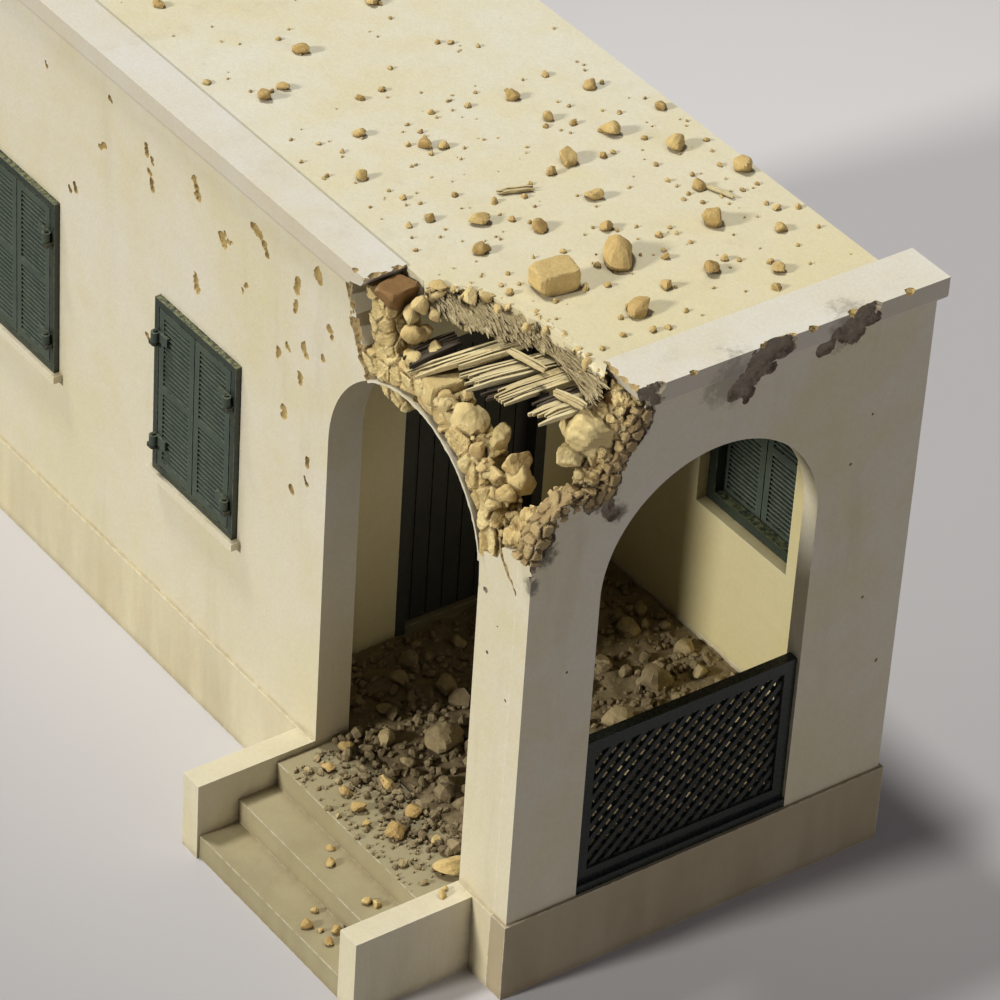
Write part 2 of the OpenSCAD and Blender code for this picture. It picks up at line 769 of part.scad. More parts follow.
base_board();
plinth_front();
plinth_left();
plinth_right();
plinth_rear();
porch_floor();
room_floor();
lower_step();
middle_step();
landing();
cheek_near();
cheek_far();
long_wall();
corner_pier();
front_wall();
right_wall();
rear_wall();
porch_wall();
arch_stones();
wall_stones();
pier_stones();
front_stones();
roof_deck();
left_coping();
front_coping();
rear_coping();
ceiling_boards();
split_laths();
loose_brick();
at_front_window() window_frame();  // front_window_frame
at_front_window() window_sill();  // front_window_sill
at_front_window() shutter_left();  // front_window_leaf_left
at_front_window() shutter_right();  // front_window_leaf_right
at_front_window() window_pintles();  // front_window_pintles
at_rear_window() window_frame();  // rear_window_frame
at_rear_window() window_sill();  // rear_window_sill
at_rear_window() shutter_left();  // rear_window_leaf_left
at_rear_window() shutter_right();  // rear_window_leaf_right
at_rear_window() window_pintles();  // rear_window_pintles
at_porch_window() window_frame();  // porch_window_frame
at_porch_window() window_sill();  // porch_window_sill
at_porch_window() shutter_left();  // porch_window_leaf_left
at_porch_window() shutter_right();  // porch_window_leaf_right
at_porch_window() window_pintles();  // porch_window_pintles
on_door_wall() door_frame();
on_door_wall() door_left();  // door_leaf_left
on_door_wall() door_right();  // door_leaf_right
on_door_wall() door_pintles();
threshold();
rail_frame();
lattice_outer();
lattice_inner();
roof_rubble();
porch_rubble();
step_rubble();
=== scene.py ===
import math

import bmesh
import bpy
import numpy as np
from mathutils import Matrix, Vector


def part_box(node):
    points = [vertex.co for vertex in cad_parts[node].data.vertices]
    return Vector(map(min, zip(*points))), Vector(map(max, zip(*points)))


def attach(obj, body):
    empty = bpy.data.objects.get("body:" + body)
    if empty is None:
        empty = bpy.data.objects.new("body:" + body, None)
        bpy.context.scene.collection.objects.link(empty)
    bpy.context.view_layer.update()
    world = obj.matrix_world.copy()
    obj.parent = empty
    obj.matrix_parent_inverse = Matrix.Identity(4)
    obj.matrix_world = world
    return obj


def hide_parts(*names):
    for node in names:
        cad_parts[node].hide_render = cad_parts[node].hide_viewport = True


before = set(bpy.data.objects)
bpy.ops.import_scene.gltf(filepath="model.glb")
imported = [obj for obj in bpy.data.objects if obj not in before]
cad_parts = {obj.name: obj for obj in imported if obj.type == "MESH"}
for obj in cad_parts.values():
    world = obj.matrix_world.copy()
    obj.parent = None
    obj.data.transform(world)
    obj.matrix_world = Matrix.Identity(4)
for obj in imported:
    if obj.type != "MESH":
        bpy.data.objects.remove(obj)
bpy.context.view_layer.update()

scene = bpy.context.scene
scene.view_settings.view_transform = "Standard"
mm = 0.001


def span(node):
    # lowest and highest corner of a CAD node, in millimetres
    low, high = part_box(node)
    return np.array(low) / mm, np.array(high) / mm


# ---- places, all in millimetres ----

building = {
    "outerX": span("long_wall")[0][0], "innerX": span("long_wall")[1][0],
    "frontY": span("front_wall")[0][1], "innerY": span("front_wall")[1][1],
    "porchEndY": span("porch_wall")[0][1], "rightX": span("right_wall")[0][0],
    "wallTop": span("long_wall")[1][2], "deckTop": span("roof_deck")[1][2],
    "copingTop": span("left_coping")[1][2], "floorZ": span("porch_floor")[1][2],
    "pierTop": span("corner_pier")[1][2],
}
archLow, archHigh = span("landing")
sideArch = {
    "middle": (archLow[1] + archHigh[1]) / 2, "radius": (archHigh[1] - archLow[1]) / 2,
    "springing": 85.4, "ringFrom": 60.0, "ringTo": 168.0, "stone": 5.6,
}
hole = {"reachX": 18.2, "reachY": 47.0, "roundness": 2.8}
sideMiddle = 0.5 * (building["outerX"] + building["innerX"])


# ---- camera, light and floor ----

cameraSet = {
    "target": (-8.92, -53.13, 60.0), "distance": 939.3, "azimuth": 37.82,
    "elevation": 36.57, "roll": 3.936, "lens": 185.7, "shift": (-0.0071, 0.0261),
}
lightSet = {
    # direction towards each lamp, its strength, how soft its shadows are in degrees, its colour
    "side": ((-0.90, 0.11, 0.41), 2.25, 8.0, (1.0, 0.975, 0.90)),
    "overhead": ((-0.15, 0.36, 0.92), 1.85, 9.0, (1.0, 0.985, 0.94)),
    "fill": ((0.18, -0.98, 0.10), 0.64, 50.0, (0.97, 0.93, 0.97)),
    "skyColour": (0.88, 0.84, 0.90), "skyStrength": 0.085,
}
# the floor darkens from its middle out over the reach: a painted falloff of lamp light
floorSet = {"halfWidth": 2.4, "colour": (0.70, 0.685, 0.70), "dark": (0.30, 0.29, 0.305),
            "bounce": 0.5,
            "middle": (0.14, 0.04, 0.0), "reach": (0.06, 0.44)}


def placeCamera():
    azimuth, elevation = math.radians(cameraSet["azimuth"]), math.radians(cameraSet["elevation"])
    forward = Vector((math.sin(azimuth) * math.cos(elevation),
                      math.cos(azimuth) * math.cos(elevation), -math.sin(elevation)))
    flatRight = Vector((math.cos(azimuth), -math.sin(azimuth), 0))
    turn = Matrix.Rotation(-math.radians(cameraSet["roll"]), 3, forward)
    right = turn @ flatRight
    up = right.cross(forward)
    camera = bpy.data.objects.new("camera", bpy.data.cameras.new("camera"))
    camera.data.sensor_width = 36
    camera.data.lens = cameraSet["lens"]
    camera.data.shift_x, camera.data.shift_y = cameraSet["shift"]
    camera.data.clip_start, camera.data.clip_end = 0.01, 20
    place = Vector(cameraSet["target"]) * mm - forward * cameraSet["distance"] * mm
    basis = Matrix((right, up, -forward)).transposed().to_4x4()
    camera.matrix_world = Matrix.Translation(place) @ basis
    scene.collection.objects.link(camera)
    scene.camera = camera


def placeLights():
    for name in ("side", "overhead", "fill"):
        toward, strength, softness, colour = lightSet[name]
        lamp = bpy.data.objects.new(name, bpy.data.lights.new(name, "SUN"))
        lamp.data.energy = strength
        lamp.data.angle = math.radians(softness)
        lamp.data.color = colour
        lamp.rotation_euler = Vector(toward).to_track_quat("Z", "Y").to_euler()
        scene.collection.objects.link(lamp)
    world = bpy.data.worlds.new("softRoom")
    world.use_nodes = True
    sky = world.node_tree.nodes["Background"]
    sky.inputs["Color"].default_value = (*lightSet["skyColour"], 1)
    sky.inputs["Strength"].default_value = lightSet["skyStrength"]
    scene.world = world


placeCamera()
placeLights()
print("camera and light placed")


# ---- node helpers ----

def add(tree, kind, inputs=None, **settings):
    # one node; a value goes on its socket, a socket is linked to it
    made = tree.nodes.new(kind)
    for name, value in settings.items():
        setattr(made, name, value)
    for name, value in (inputs or {}).items():
        if isinstance(value, bpy.types.NodeSocket):
            tree.links.new(value, made.inputs[name])
        else:
            made.inputs[name].default_value = value
    return made


def mixColour(tree, share, first, second, how="MIX"):
    made = add(tree, "ShaderNodeMix", data_type="RGBA", blend_type=how, clamp_factor=True)
    for index, value in ((0, share), (6, first), (7, second)):
        if isinstance(value, bpy.types.NodeSocket):
            tree.links.new(value, made.inputs[index])
        else:
            made.inputs[index].default_value = value if index == 0 else (*value, 1)
    return made.outputs[2]


def limits(tree, source, low, high, bottom=0.0, top=1.0):
    made = add(tree, "ShaderNodeMapRange", {"Value": source, "From Min": low, "From Max": high,
                                            "To Min": bottom, "To Max": top},
               interpolation_type="SMOOTHSTEP")
    return made.outputs["Result"]


def maths(tree, how, first, second=0.0, clamp=False):
    made = add(tree, "ShaderNodeMath", {0: first, 1: second}, operation=how, use_clamp=clamp)
    return made.outputs[0]


def noise(tree, place, size, detail=4.0, roughness=0.6, stretch=None):
    # soft noise whose blobs are about size millimetres across
    if stretch:
        place = add(tree, "ShaderNodeMapping", {"Vector": place, "Scale": stretch}).outputs[0]
    made = add(tree, "ShaderNodeTexNoise", {"Vector": place, "Scale": 1 / (size * mm),
                                            "Detail": detail, "Roughness": roughness})
    return made.outputs["Fac"]


def newGroup(name, inputs, outputs):
    tree = bpy.data.node_groups.new(name, "ShaderNodeTree")
    for label, kind, value in inputs:
        socket = tree.interface.new_socket(name=label, in_out="INPUT", socket_type=kind)
        if value is not None:
            socket.default_value = value
    for label in outputs:
        tree.interface.new_socket(name=label, in_out="OUTPUT", socket_type="NodeSocketFloat")
    return tree, tree.nodes.new("NodeGroupInput").outputs, tree.nodes.new("NodeGroupOutput").inputs


def useGroup(tree, group, inputs):
    return add(tree, "ShaderNodeGroup", inputs, node_tree=group).outputs


# ---- shared effects ----

def makeMottle():
    # broad blotches, middling clouds and a fine speckle, each from 0 to 1
    tree, given, result = newGroup("mottle", [("Place", "NodeSocketVector", None)],
                                   ["Broad", "Cloud", "Speckle"])
    for label, size, low, high in (("Broad", 34, 0.36, 0.66), ("Cloud", 7, 0.34, 0.68),
                                   ("Speckle", 0.7, 0.30, 0.74)):
        tree.links.new(limits(tree, noise(tree, given["Place"], size), low, high), result[label])
    return tree


def makeWornEdges():
    # 1 on outer edges, where the rounded normal leaves the true one, broken up by noise
    tree, given, result = newGroup(
        "wornEdges", [("Place", "NodeSocketVector", None), ("Radius", "NodeSocketFloat", 0.0003),
                      ("Amount", "NodeSocketFloat", 0.5)], ["Mask"])
    rounded = add(tree, "ShaderNodeBevel", {"Radius": given["Radius"]}, samples=6)
    true = add(tree, "ShaderNodeNewGeometry")
    dot = add(tree, "ShaderNodeVectorMath", {0: rounded.outputs[0], 1: true.outputs["Normal"]},
              operation="DOT_PRODUCT")
    edge = limits(tree, dot.outputs["Value"], 0.99, 0.82)
    patchy = limits(tree, noise(tree, given["Place"], 1.6, 5), 0.34, 0.62)
    worn = maths(tree, "MULTIPLY", edge, maths(tree, "MULTIPLY", patchy, given["Amount"]))
    tree.links.new(worn, result["Mask"])
    return tree


def makeCreviceShade():
    # painted shade: 1 where surfaces close in on each other, broken up by noise
    tree, given, result = newGroup(
        "creviceShade", [("Place", "NodeSocketVector", None), ("Reach", "NodeSocketFloat", 0.003)],
        ["Mask"])
    openness = add(tree, "ShaderNodeAmbientOcclusion", {"Distance": given["Reach"]}, samples=6)
    shut = limits(tree, openness.outputs["AO"], 0.86, 0.38)
    patchy = limits(tree, noise(tree, given["Place"], 2.4), 0.25, 0.6, 0.4, 1.0)
    tree.links.new(maths(tree, "MULTIPLY", shut, patchy), result["Mask"])
    return tree


def makeSmudge():
    # a ragged round stain about one point
    tree, given, result = newGroup(
        "smudge", [("Place", "NodeSocketVector", None), ("Centre", "NodeSocketVector", None),
                   ("Radius", "NodeSocketFloat", 0.004)], ["Mask"])
    away = add(tree, "ShaderNodeVectorMath", {0: given["Place"], 1: given["Centre"]},
               operation="DISTANCE")
    share = maths(tree, "DIVIDE", away.outputs["Value"], given["Radius"])
    rough = maths(tree, "MULTIPLY", noise(tree, given["Place"], 2.2, 6, 0.75), 1.7)
    tree.links.new(limits(tree, maths(tree, "ADD", share, rough), 1.72, 1.18), result["Mask"])
    return tree


mottle = makeMottle()
wornEdges = makeWornEdges()
creviceShade = makeCreviceShade()
smudge = makeSmudge()


# ---- materials ----

def newMaterial(name, roughness):
    made = bpy.data.materials.new(name)
    made.use_nodes = True
    tree = made.node_tree
    shader = tree.nodes["Principled BSDF"]
    shader.inputs["Roughness"].default_value = roughness
    place = add(tree, "ShaderNodeTexCoord").outputs["Object"]
    return made, tree, shader, place


def roughen(tree, shader, height, depth, strength=0.6):
    bump = add(tree, "ShaderNodeBump", {"Height": height, "Distance": depth * mm,
                                        "Strength": strength})
    tree.links.new(bump.outputs["Normal"], shader.inputs["Normal"])


def makePlaster(name, pale, warm, grimeAndShade, smudges=(), warmShare=1.0, sideShade=0.0, frontWarm=0.0):
    # limewash over plaster: pale ground, warm blotches, painted shade low down streaked like rain
    # grime, painted shade in crevices and on upright faces, soot by the breaks
    made, tree, shader, place = newMaterial(name, 0.86)
    marks = useGroup(tree, mottle, {"Place": place})
    streaks = noise(tree, place, 9, 5, 0.6, stretch=(1, 1, 0.16))
    warmth = maths(tree, "MULTIPLY", maths(tree, "ADD", maths(
        tree, "MULTIPLY", marks["Broad"], 0.7), maths(tree, "MULTIPLY", marks["Cloud"], 0.3)),
        warmShare)
    colour = mixColour(tree, warmth, pale, warm)
    axes = add(tree, "ShaderNodeSeparateXYZ", {"Vector": place}).outputs
    height = axes["Z"]
    # painted shade: warmer and darker towards the bottom
    colour = mixColour(tree, limits(tree, height, 0.090, 0.012, 0.0, 0.45), colour, warm)
    if frontWarm:
        colour = mixColour(tree, limits(tree, axes["Y"], -0.02, -0.085, 0.0, frontWarm), colour,
                           warm)
    # painted shade at the foot of the wall, streaked like rain grime
    low = maths(tree, "MULTIPLY", limits(tree, height, 0.030, 0.001),
                limits(tree, streaks, 0.34, 0.62))
    colour = mixColour(tree, maths(tree, "MULTIPLY", low, 0.30), colour, grimeAndShade)
    drips = maths(tree, "MULTIPLY", limits(tree, streaks, 0.56, 0.74), 0.16)
    colour = mixColour(tree, drips, colour, grimeAndShade)
    # painted shade on upright faces, making them darker than the tops
    if sideShade:
        facing = add(tree, "ShaderNodeNewGeometry").outputs["Normal"]
        upright = add(tree, "ShaderNodeSeparateXYZ", {"Vector": facing}).outputs["Z"]
        upright = limits(tree, maths(tree, "ABSOLUTE", upright), 0.6, 0.2, 0.0, sideShade)
        colour = mixColour(tree, upright, colour, grimeAndShade)
    # painted shade in crevices, towards a dark brown
    dirt = useGroup(tree, creviceShade, {"Place": place, "Reach": 3.2 * mm})["Mask"]
    colour = mixColour(tree, maths(tree, "MULTIPLY", dirt, 0.62), colour, (0.20, 0.145, 0.075))
    edge = useGroup(tree, wornEdges, {"Place": place, "Radius": 0.45 * mm, "Amount": 0.75})["Mask"]
    colour = mixColour(tree, edge, colour, (0.88, 0.84, 0.70))
    for centre, radius, soot in smudges:
        spot = useGroup(tree, smudge, {"Place": place, "Radius": radius * mm})
        stain = spot["Mask"]
        stain.node.inputs["Centre"].default_value = [value * mm for value in centre]
        colour = mixColour(tree, maths(tree, "MULTIPLY", stain, soot), colour, (0.085, 0.07, 0.05))
    speck = maths(tree, "MULTIPLY", marks["Speckle"], 0.12)
    colour = mixColour(tree, speck, colour, (0.42, 0.36, 0.24))
    tree.links.new(colour, shader.inputs["Base Color"])
    fine = maths(tree, "ADD", noise(tree, place, 0.5, 3), maths(
        tree, "MULTIPLY", noise(tree, place, 5.0, 3), 1.6))
    roughen(tree, shader, fine, 0.10, 0.5)
    return made


def makeStone(name, pale, deep, dust, pits=0.55):
    # broken stone: two ochres by piece, dark pits, painted shade in crevices, dust on top
    made, tree, shader, place = newMaterial(name, 0.9)
    tint = add(tree, "ShaderNodeAttribute", attribute_name="tint").outputs["Fac"]
    marks = useGroup(tree, mottle, {"Place": place})
    share = maths(tree, "ADD", maths(tree, "MULTIPLY", tint, 0.7),
                  maths(tree, "MULTIPLY", limits(tree, noise(tree, place, 1.8, 5), 0.3, 0.7), 0.3))
    colour = mixColour(tree, share, pale, deep)
    # painted shade in crevices
    dirt = useGroup(tree, creviceShade, {"Place": place, "Reach": 2.2 * mm})["Mask"]
    colour = mixColour(tree, maths(tree, "MULTIPLY", dirt, 0.85), colour, (0.085, 0.055, 0.022))
    holes = limits(tree, noise(tree, place, 0.8, 5, 0.7), 0.40, 0.28)
    colour = mixColour(tree, maths(tree, "MULTIPLY", holes, pits), colour, (0.13, 0.085, 0.035))
    edge = useGroup(tree, wornEdges, {"Place": place, "Radius": 0.35 * mm, "Amount": 0.8})["Mask"]
    colour = mixColour(tree, edge, colour, dust)
    speck = maths(tree, "MULTIPLY", marks["Speckle"], 0.25)
    colour = mixColour(tree, speck, colour, deep)
    tree.links.new(colour, shader.inputs["Base Color"])
    roughen(tree, shader, noise(tree, place, 0.9, 6, 0.7), 0.28, 0.8)
    return made


def makeWood(name, pale, deep, charred=()):
    # dry split wood: grain drawn out along X, painted shade where slivers close in, charred at some
    # ends
    made, tree, shader, place = newMaterial(name, 0.85)
    tint = add(tree, "ShaderNodeAttribute", attribute_name="tint").outputs["Fac"]
    grain = noise(tree, place, 0.55, 5, 0.65, stretch=(0.09, 1, 1))
    share = maths(tree, "ADD", maths(tree, "MULTIPLY", tint, 0.6),
                  maths(tree, "MULTIPLY", limits(tree, grain, 0.32, 0.66), 0.4))
    colour = mixColour(tree, share, pale, deep)
    # painted shade where slivers close in
    dirt = useGroup(tree, creviceShade, {"Place": place, "Reach": 1.8 * mm})["Mask"]
    colour = mixColour(tree, maths(tree, "MULTIPLY", dirt, 0.9), colour, (0.055, 0.036, 0.016))
    for centre, radius in charred:
        spot = useGroup(tree, smudge, {"Place": place, "Radius": radius * mm})
        spot["Mask"].node.inputs["Centre"].default_value = [value * mm for value in centre]
        colour = mixColour(tree, spot["Mask"], colour, (0.035, 0.028, 0.024))
    tree.links.new(colour, shader.inputs["Base Color"])
    roughen(tree, shader, grain, 0.18, 0.8)
    return made


def makePaint(name, base, second, worn, roughness, wear, coat=0.0, shade=0.5, shine=0.5):
    # brushed paint over wood: two greens, edges rubbed through, painted shade in the corners
    made, tree, shader, place = newMaterial(name, roughness)
    marks = useGroup(tree, mottle, {"Place": place})
    colour = mixColour(tree, marks["Cloud"], base, second)
    # painted shade in the corners, as strong as shade asks
    dirt = useGroup(tree, creviceShade, {"Place": place, "Reach": 1.0 * mm})["Mask"]
    colour = mixColour(tree, maths(tree, "MULTIPLY", dirt, shade), colour, (0.004, 0.005, 0.004))
    facing = add(tree, "ShaderNodeNewGeometry").outputs["Normal"]
    up = add(tree, "ShaderNodeSeparateXYZ", {"Vector": facing})
    top = maths(tree, "MULTIPLY", limits(tree, up.outputs["Z"], 0.75, 0.98, 0.0, 0.7),
                limits(tree, noise(tree, place, 0.9, 6, 0.7), 0.40, 0.62))
    colour = mixColour(tree, maths(tree, "MULTIPLY", top, wear), colour, worn)
    edge = useGroup(tree, wornEdges, {"Place": place, "Radius": 0.22 * mm, "Amount": wear})["Mask"]
    colour = mixColour(tree, edge, colour, worn)
    tree.links.new(colour, shader.inputs["Base Color"])
    tree.links.new(limits(tree, marks["Speckle"], 0, 1, roughness - 0.08, roughness + 0.14),
                   shader.inputs["Roughness"])
    shader.inputs["Specular IOR Level"].default_value = shine
    shader.inputs["Coat Weight"].default_value = coat
    shader.inputs["Coat Roughness"].default_value = 0.3
    roughen(tree, shader, noise(tree, place, 0.4, 3), 0.04, 0.5)
    return made


def makeFloor():
    # studio ground: pale, with a painted falloff of lamp light, darker away from the middle
    made, tree, shader, place = newMaterial("studioGround", 0.75)
    away = add(tree, "ShaderNodeVectorMath", {0: place, 1: floorSet["middle"]},
               operation="DISTANCE")
    seen = mixColour(tree, limits(tree, away.outputs["Value"], *floorSet["reach"]),
                     floorSet["colour"], floorSet["dark"])
    toEye = add(tree, "ShaderNodeLightPath").outputs["Is Camera Ray"]
    dimmed = mixColour(tree, floorSet["bounce"], seen, (0.0, 0.0, 0.0))
    tree.links.new(mixColour(tree, toEye, dimmed, seen), shader.inputs["Base Color"])
    return made


sootSpots = [
    ((-34.2, -104.0, 111.5), 4.4, 0.85), ((-29.0, -104.0, 106.4), 5.0, 0.8),
    ((-25.1, -104.0, 101.5), 3.2, 0.75), ((-23.0, -104.0, 117.5), 4.4, 0.8),
    ((-21.5, -105.0, 122.5), 3.4, 0.8), ((-40.5, -104.0, 98.5), 4.2, 0.85),
    ((-42.4, -104.0, 92.5), 2.6, 0.7), ((-42.5, -88.9, 84.0), 1.4, 0.6),
    ((-3.0, -104.6, 121.5), 7.5, 0.45), ((22.0, -104.6, 123.5), 7.0, 0.45),
    ((-42.5, -53.5, 117.5), 3.0, 0.35),
]
plasterWall = makePlaster("wallPlaster", (0.78, 0.73, 0.61), (0.74, 0.67, 0.44),
                          (0.44, 0.36, 0.22), sootSpots)
plasterRoof = makePlaster("roofPlaster", (0.84, 0.81, 0.67), (0.80, 0.71, 0.42),
                          (0.48, 0.40, 0.23), (), 0.75, 0.0, 0.6)
plasterInner = makePlaster("innerPlaster", (0.77, 0.70, 0.44), (0.72, 0.62, 0.31),
                           (0.42, 0.34, 0.18))
# the coping's upright faces get painted shade
plasterCoping = makePlaster("copingPlaster", (0.82, 0.80, 0.73), (0.78, 0.71, 0.53),
                            (0.50, 0.42, 0.28), sootSpots, 0.8, 0.42)
plasterPlinth = makePlaster("plinthPlaster", (0.76, 0.71, 0.54), (0.72, 0.64, 0.41),
                            (0.38, 0.30, 0.17))
# a darker copy of the plaster for the front plinth, painted shade
plasterPlinthShade = makePlaster("dirtyPlaster", (0.50, 0.43, 0.31), (0.44, 0.36, 0.22),
                           (0.26, 0.20, 0.12))
stepStone = makePlaster("stepStone", (0.46, 0.41, 0.27), (0.37, 0.32, 0.17), (0.25, 0.20, 0.11))
masonry = makeStone("ochreMasonry", (0.88, 0.73, 0.36), (0.56, 0.39, 0.15), (0.88, 0.77, 0.47), 0.7)
mortar = makeStone("earthMortar", (0.56, 0.42, 0.20), (0.30, 0.20, 0.085), (0.66, 0.54, 0.31), 0.6)
bareOchre = makeStone("bareOchre", (0.56, 0.41, 0.16), (0.32, 0.21, 0.075), (0.66, 0.54, 0.29), 0.3)
charredStone = makeStone("charredStone", (0.38, 0.32, 0.235), (0.13, 0.105, 0.075),
                         (0.50, 0.43, 0.32), 0.5)
looseStone = makeStone("looseStone", (0.76, 0.58, 0.25), (0.44, 0.28, 0.09), (0.82, 0.71, 0.42),
                       0.7)
porchStone = makeStone("dustyStone", (0.58, 0.46, 0.23), (0.20, 0.15, 0.08), (0.62, 0.54, 0.34),
                       0.5)
gravel = makeStone("gravel", (0.38, 0.30, 0.165), (0.15, 0.11, 0.055), (0.46, 0.38, 0.23))
brick = makeStone("firedBrick", (0.42, 0.26, 0.10), (0.22, 0.11, 0.035), (0.66, 0.51, 0.28), 0.4)
scorch = [((-38.5, -64.7, 115.6), 3.4), ((-35.0, -61.8, 125.8), 3.2), ((-30.6, -63.6, 126.0), 2.6),
          ((-27.2, -68.4, 125.6), 1.8), ((-31.5, -88.6, 119.6), 2.2)]
lathWood = makeWood("splitLath", (0.88, 0.77, 0.46), (0.60, 0.47, 0.23), scorch)
fibreWood = makeWood("fibreBed", (0.66, 0.56, 0.33), (0.36, 0.28, 0.14), scorch)
charredWood = makeWood("charredLath", (0.16, 0.125, 0.08), (0.035, 0.028, 0.022))
boardWood = makeWood("ceilingBoard", (0.42, 0.34, 0.20), (0.26, 0.19, 0.10))
leafPaint = makePaint("leafGreen", (0.062, 0.082, 0.066), (0.078, 0.098, 0.074),
                      (0.25, 0.28, 0.19), 0.55, 0.62, 0.0, 1.0, 0.22)
framePaint = makePaint("frameGreen", (0.022, 0.034, 0.026), (0.032, 0.044, 0.032),
                       (0.30, 0.30, 0.14), 0.42, 0.9, 0.1)
doorPaint = makePaint("doorPaint", (0.034, 0.036, 0.032), (0.044, 0.045, 0.038),
                      (0.10, 0.10, 0.075), 0.5, 0.5)
railPaint = makePaint("railPaint", (0.008, 0.012, 0.010), (0.013, 0.018, 0.014),
                      (0.065, 0.08, 0.06), 0.26, 0.32, 0.5)
ironPaint = makePaint("hingeIron", (0.02, 0.03, 0.026), (0.035, 0.035, 0.025),
                      (0.22, 0.19, 0.11), 0.4, 0.7)
greyBoard = makeWood("baseBoard", (0.46, 0.42, 0.34), (0.36, 0.31, 0.23))
print("materials made")


# ---- mesh helpers ----

def ripple(points, size, seed, octaves=3):
    # smooth noise about -1 to 1: sine waves in random directions, each octave half as long and high
    rng = np.random.default_rng(seed)
    total = np.zeros(points.shape[:-1])
    for octave in range(octaves):
        waves = rng.normal(size=(7, 3))
        waves /= np.linalg.norm(waves, axis=1)[:, None]
        phase = rng.uniform(0, 2 * math.pi, 7)
        turns = points @ waves.T * (2 * math.pi * 2 ** octave / size) + phase
        total += np.sin(turns).sum(-1) * 0.25 / 2 ** octave
    return total


def gridFaces(rows, columns, closed=False):
    # quads of a grid of rows and columns; the columns join up when closed
    row = np.arange(rows - 1)[:, None]
    column = np.arange(columns if closed else columns - 1)[None, :]
    after = (column + 1) % columns
    corners = [row * columns + column, (row + 1) * columns + column,
               (row + 1) * columns + after, row * columns + after]
    return np.stack([corner.reshape(-1) for corner in corners], -1)


def joinShells(points, faces):
    # many copies of one shell: points is (shells, corners, 3), faces a list of index arrays
    shells, corners = points.shape[:2]
    shift = np.arange(shells)[:, None, None] * corners
    return points.reshape(-1, 3), [(part[None] + shift).reshape(-1,
                                                                part.shape[1]) for part in faces]


def linkMesh(name, parts, material):
    # parts are (points in mm, list of face arrays, tint for each point or one number)
    faces, start = [], 0
    for points, partFaces, _ in parts:
        for group in partFaces:
            faces += (group + start).tolist()
        start += len(points)
    mesh = bpy.data.meshes.new(name)
    mesh.from_pydata((np.concatenate([part[0] for part in parts]) * mm).tolist(), [], faces)
    mesh.materials.append(material)
    made = bpy.data.objects.new(name, mesh)
    scene.collection.objects.link(made)
    return made


def makePiece(name, parts, material, replaced=(), smooth=False, body="house"):
    piece = linkMesh(name, parts, material)
    mesh = piece.data
    tints = [np.broadcast_to(tint, len(points)) for points, _, tint in parts]
    mesh.attributes.new("tint", "FLOAT", "POINT").data.foreach_set(
        "value", np.concatenate(tints).astype(np.float32))
    mesh.polygons.foreach_set("use_smooth", np.full(len(mesh.polygons), smooth))
    mesh.update()
    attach(piece, body)
    if replaced:
        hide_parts(*replaced)


def unitBall(rings, spokes):
    # points of a ball ring by ring, then its two poles, and the faces that close it
    down = np.linspace(0, math.pi, rings + 2)[1:-1, None]
    around = np.arange(spokes)[None, :] * 2 * math.pi / spokes
    ball = np.stack([np.sin(down) * np.cos(around), np.sin(down) * np.sin(around),
                     np.cos(down) + 0 * around], -1).reshape(-1, 3)
    ring, pole, foot = np.arange(spokes), rings * spokes, (rings - 1) * spokes
    top = np.stack([np.full(spokes, pole), ring, (ring + 1) % spokes], -1)
    bottom = np.stack([np.full(spokes, pole + 1), foot + (ring + 1) % spokes, foot + ring], -1)
    faces = [gridFaces(rings, spokes, True), top, bottom]
    return np.concatenate([ball, [[0, 0, 1], [0, 0, -1]]]), faces


def spun(degrees):
    # one rotation matrix about Z
    cos, sin = math.cos(math.radians(degrees)), math.sin(math.radians(degrees))
    return np.array([[[cos, -sin, 0], [sin, cos, 0], [0, 0, 1]]])


def turnsAbout(rng, count, tilt, spin=math.pi):
    # rotation matrices: any spin about Z up to the given angle, then a small tilt
    spins = rng.uniform(-spin, spin, count)
    leanX, leanY = rng.normal(0, tilt, (2, count))
    zero, one = np.zeros(count), np.ones(count)

    def stack(rows):
        return np.stack([np.stack(row, -1) for row in rows], -2)
    about = stack([[np.cos(spins), -np.sin(spins), zero], [np.sin(spins), np.cos(spins), zero],
                   [zero, zero, one]])
    overX = stack([[one, zero, zero], [zero, np.cos(leanX), -np.sin(leanX)],
                   [zero, np.sin(leanX), np.cos(leanX)]])
    overY = stack([[np.cos(leanY), zero, np.sin(leanY)], [zero, one, zero],
                   [-np.sin(leanY), zero, np.cos(leanY)]])
    return overX @ overY @ about


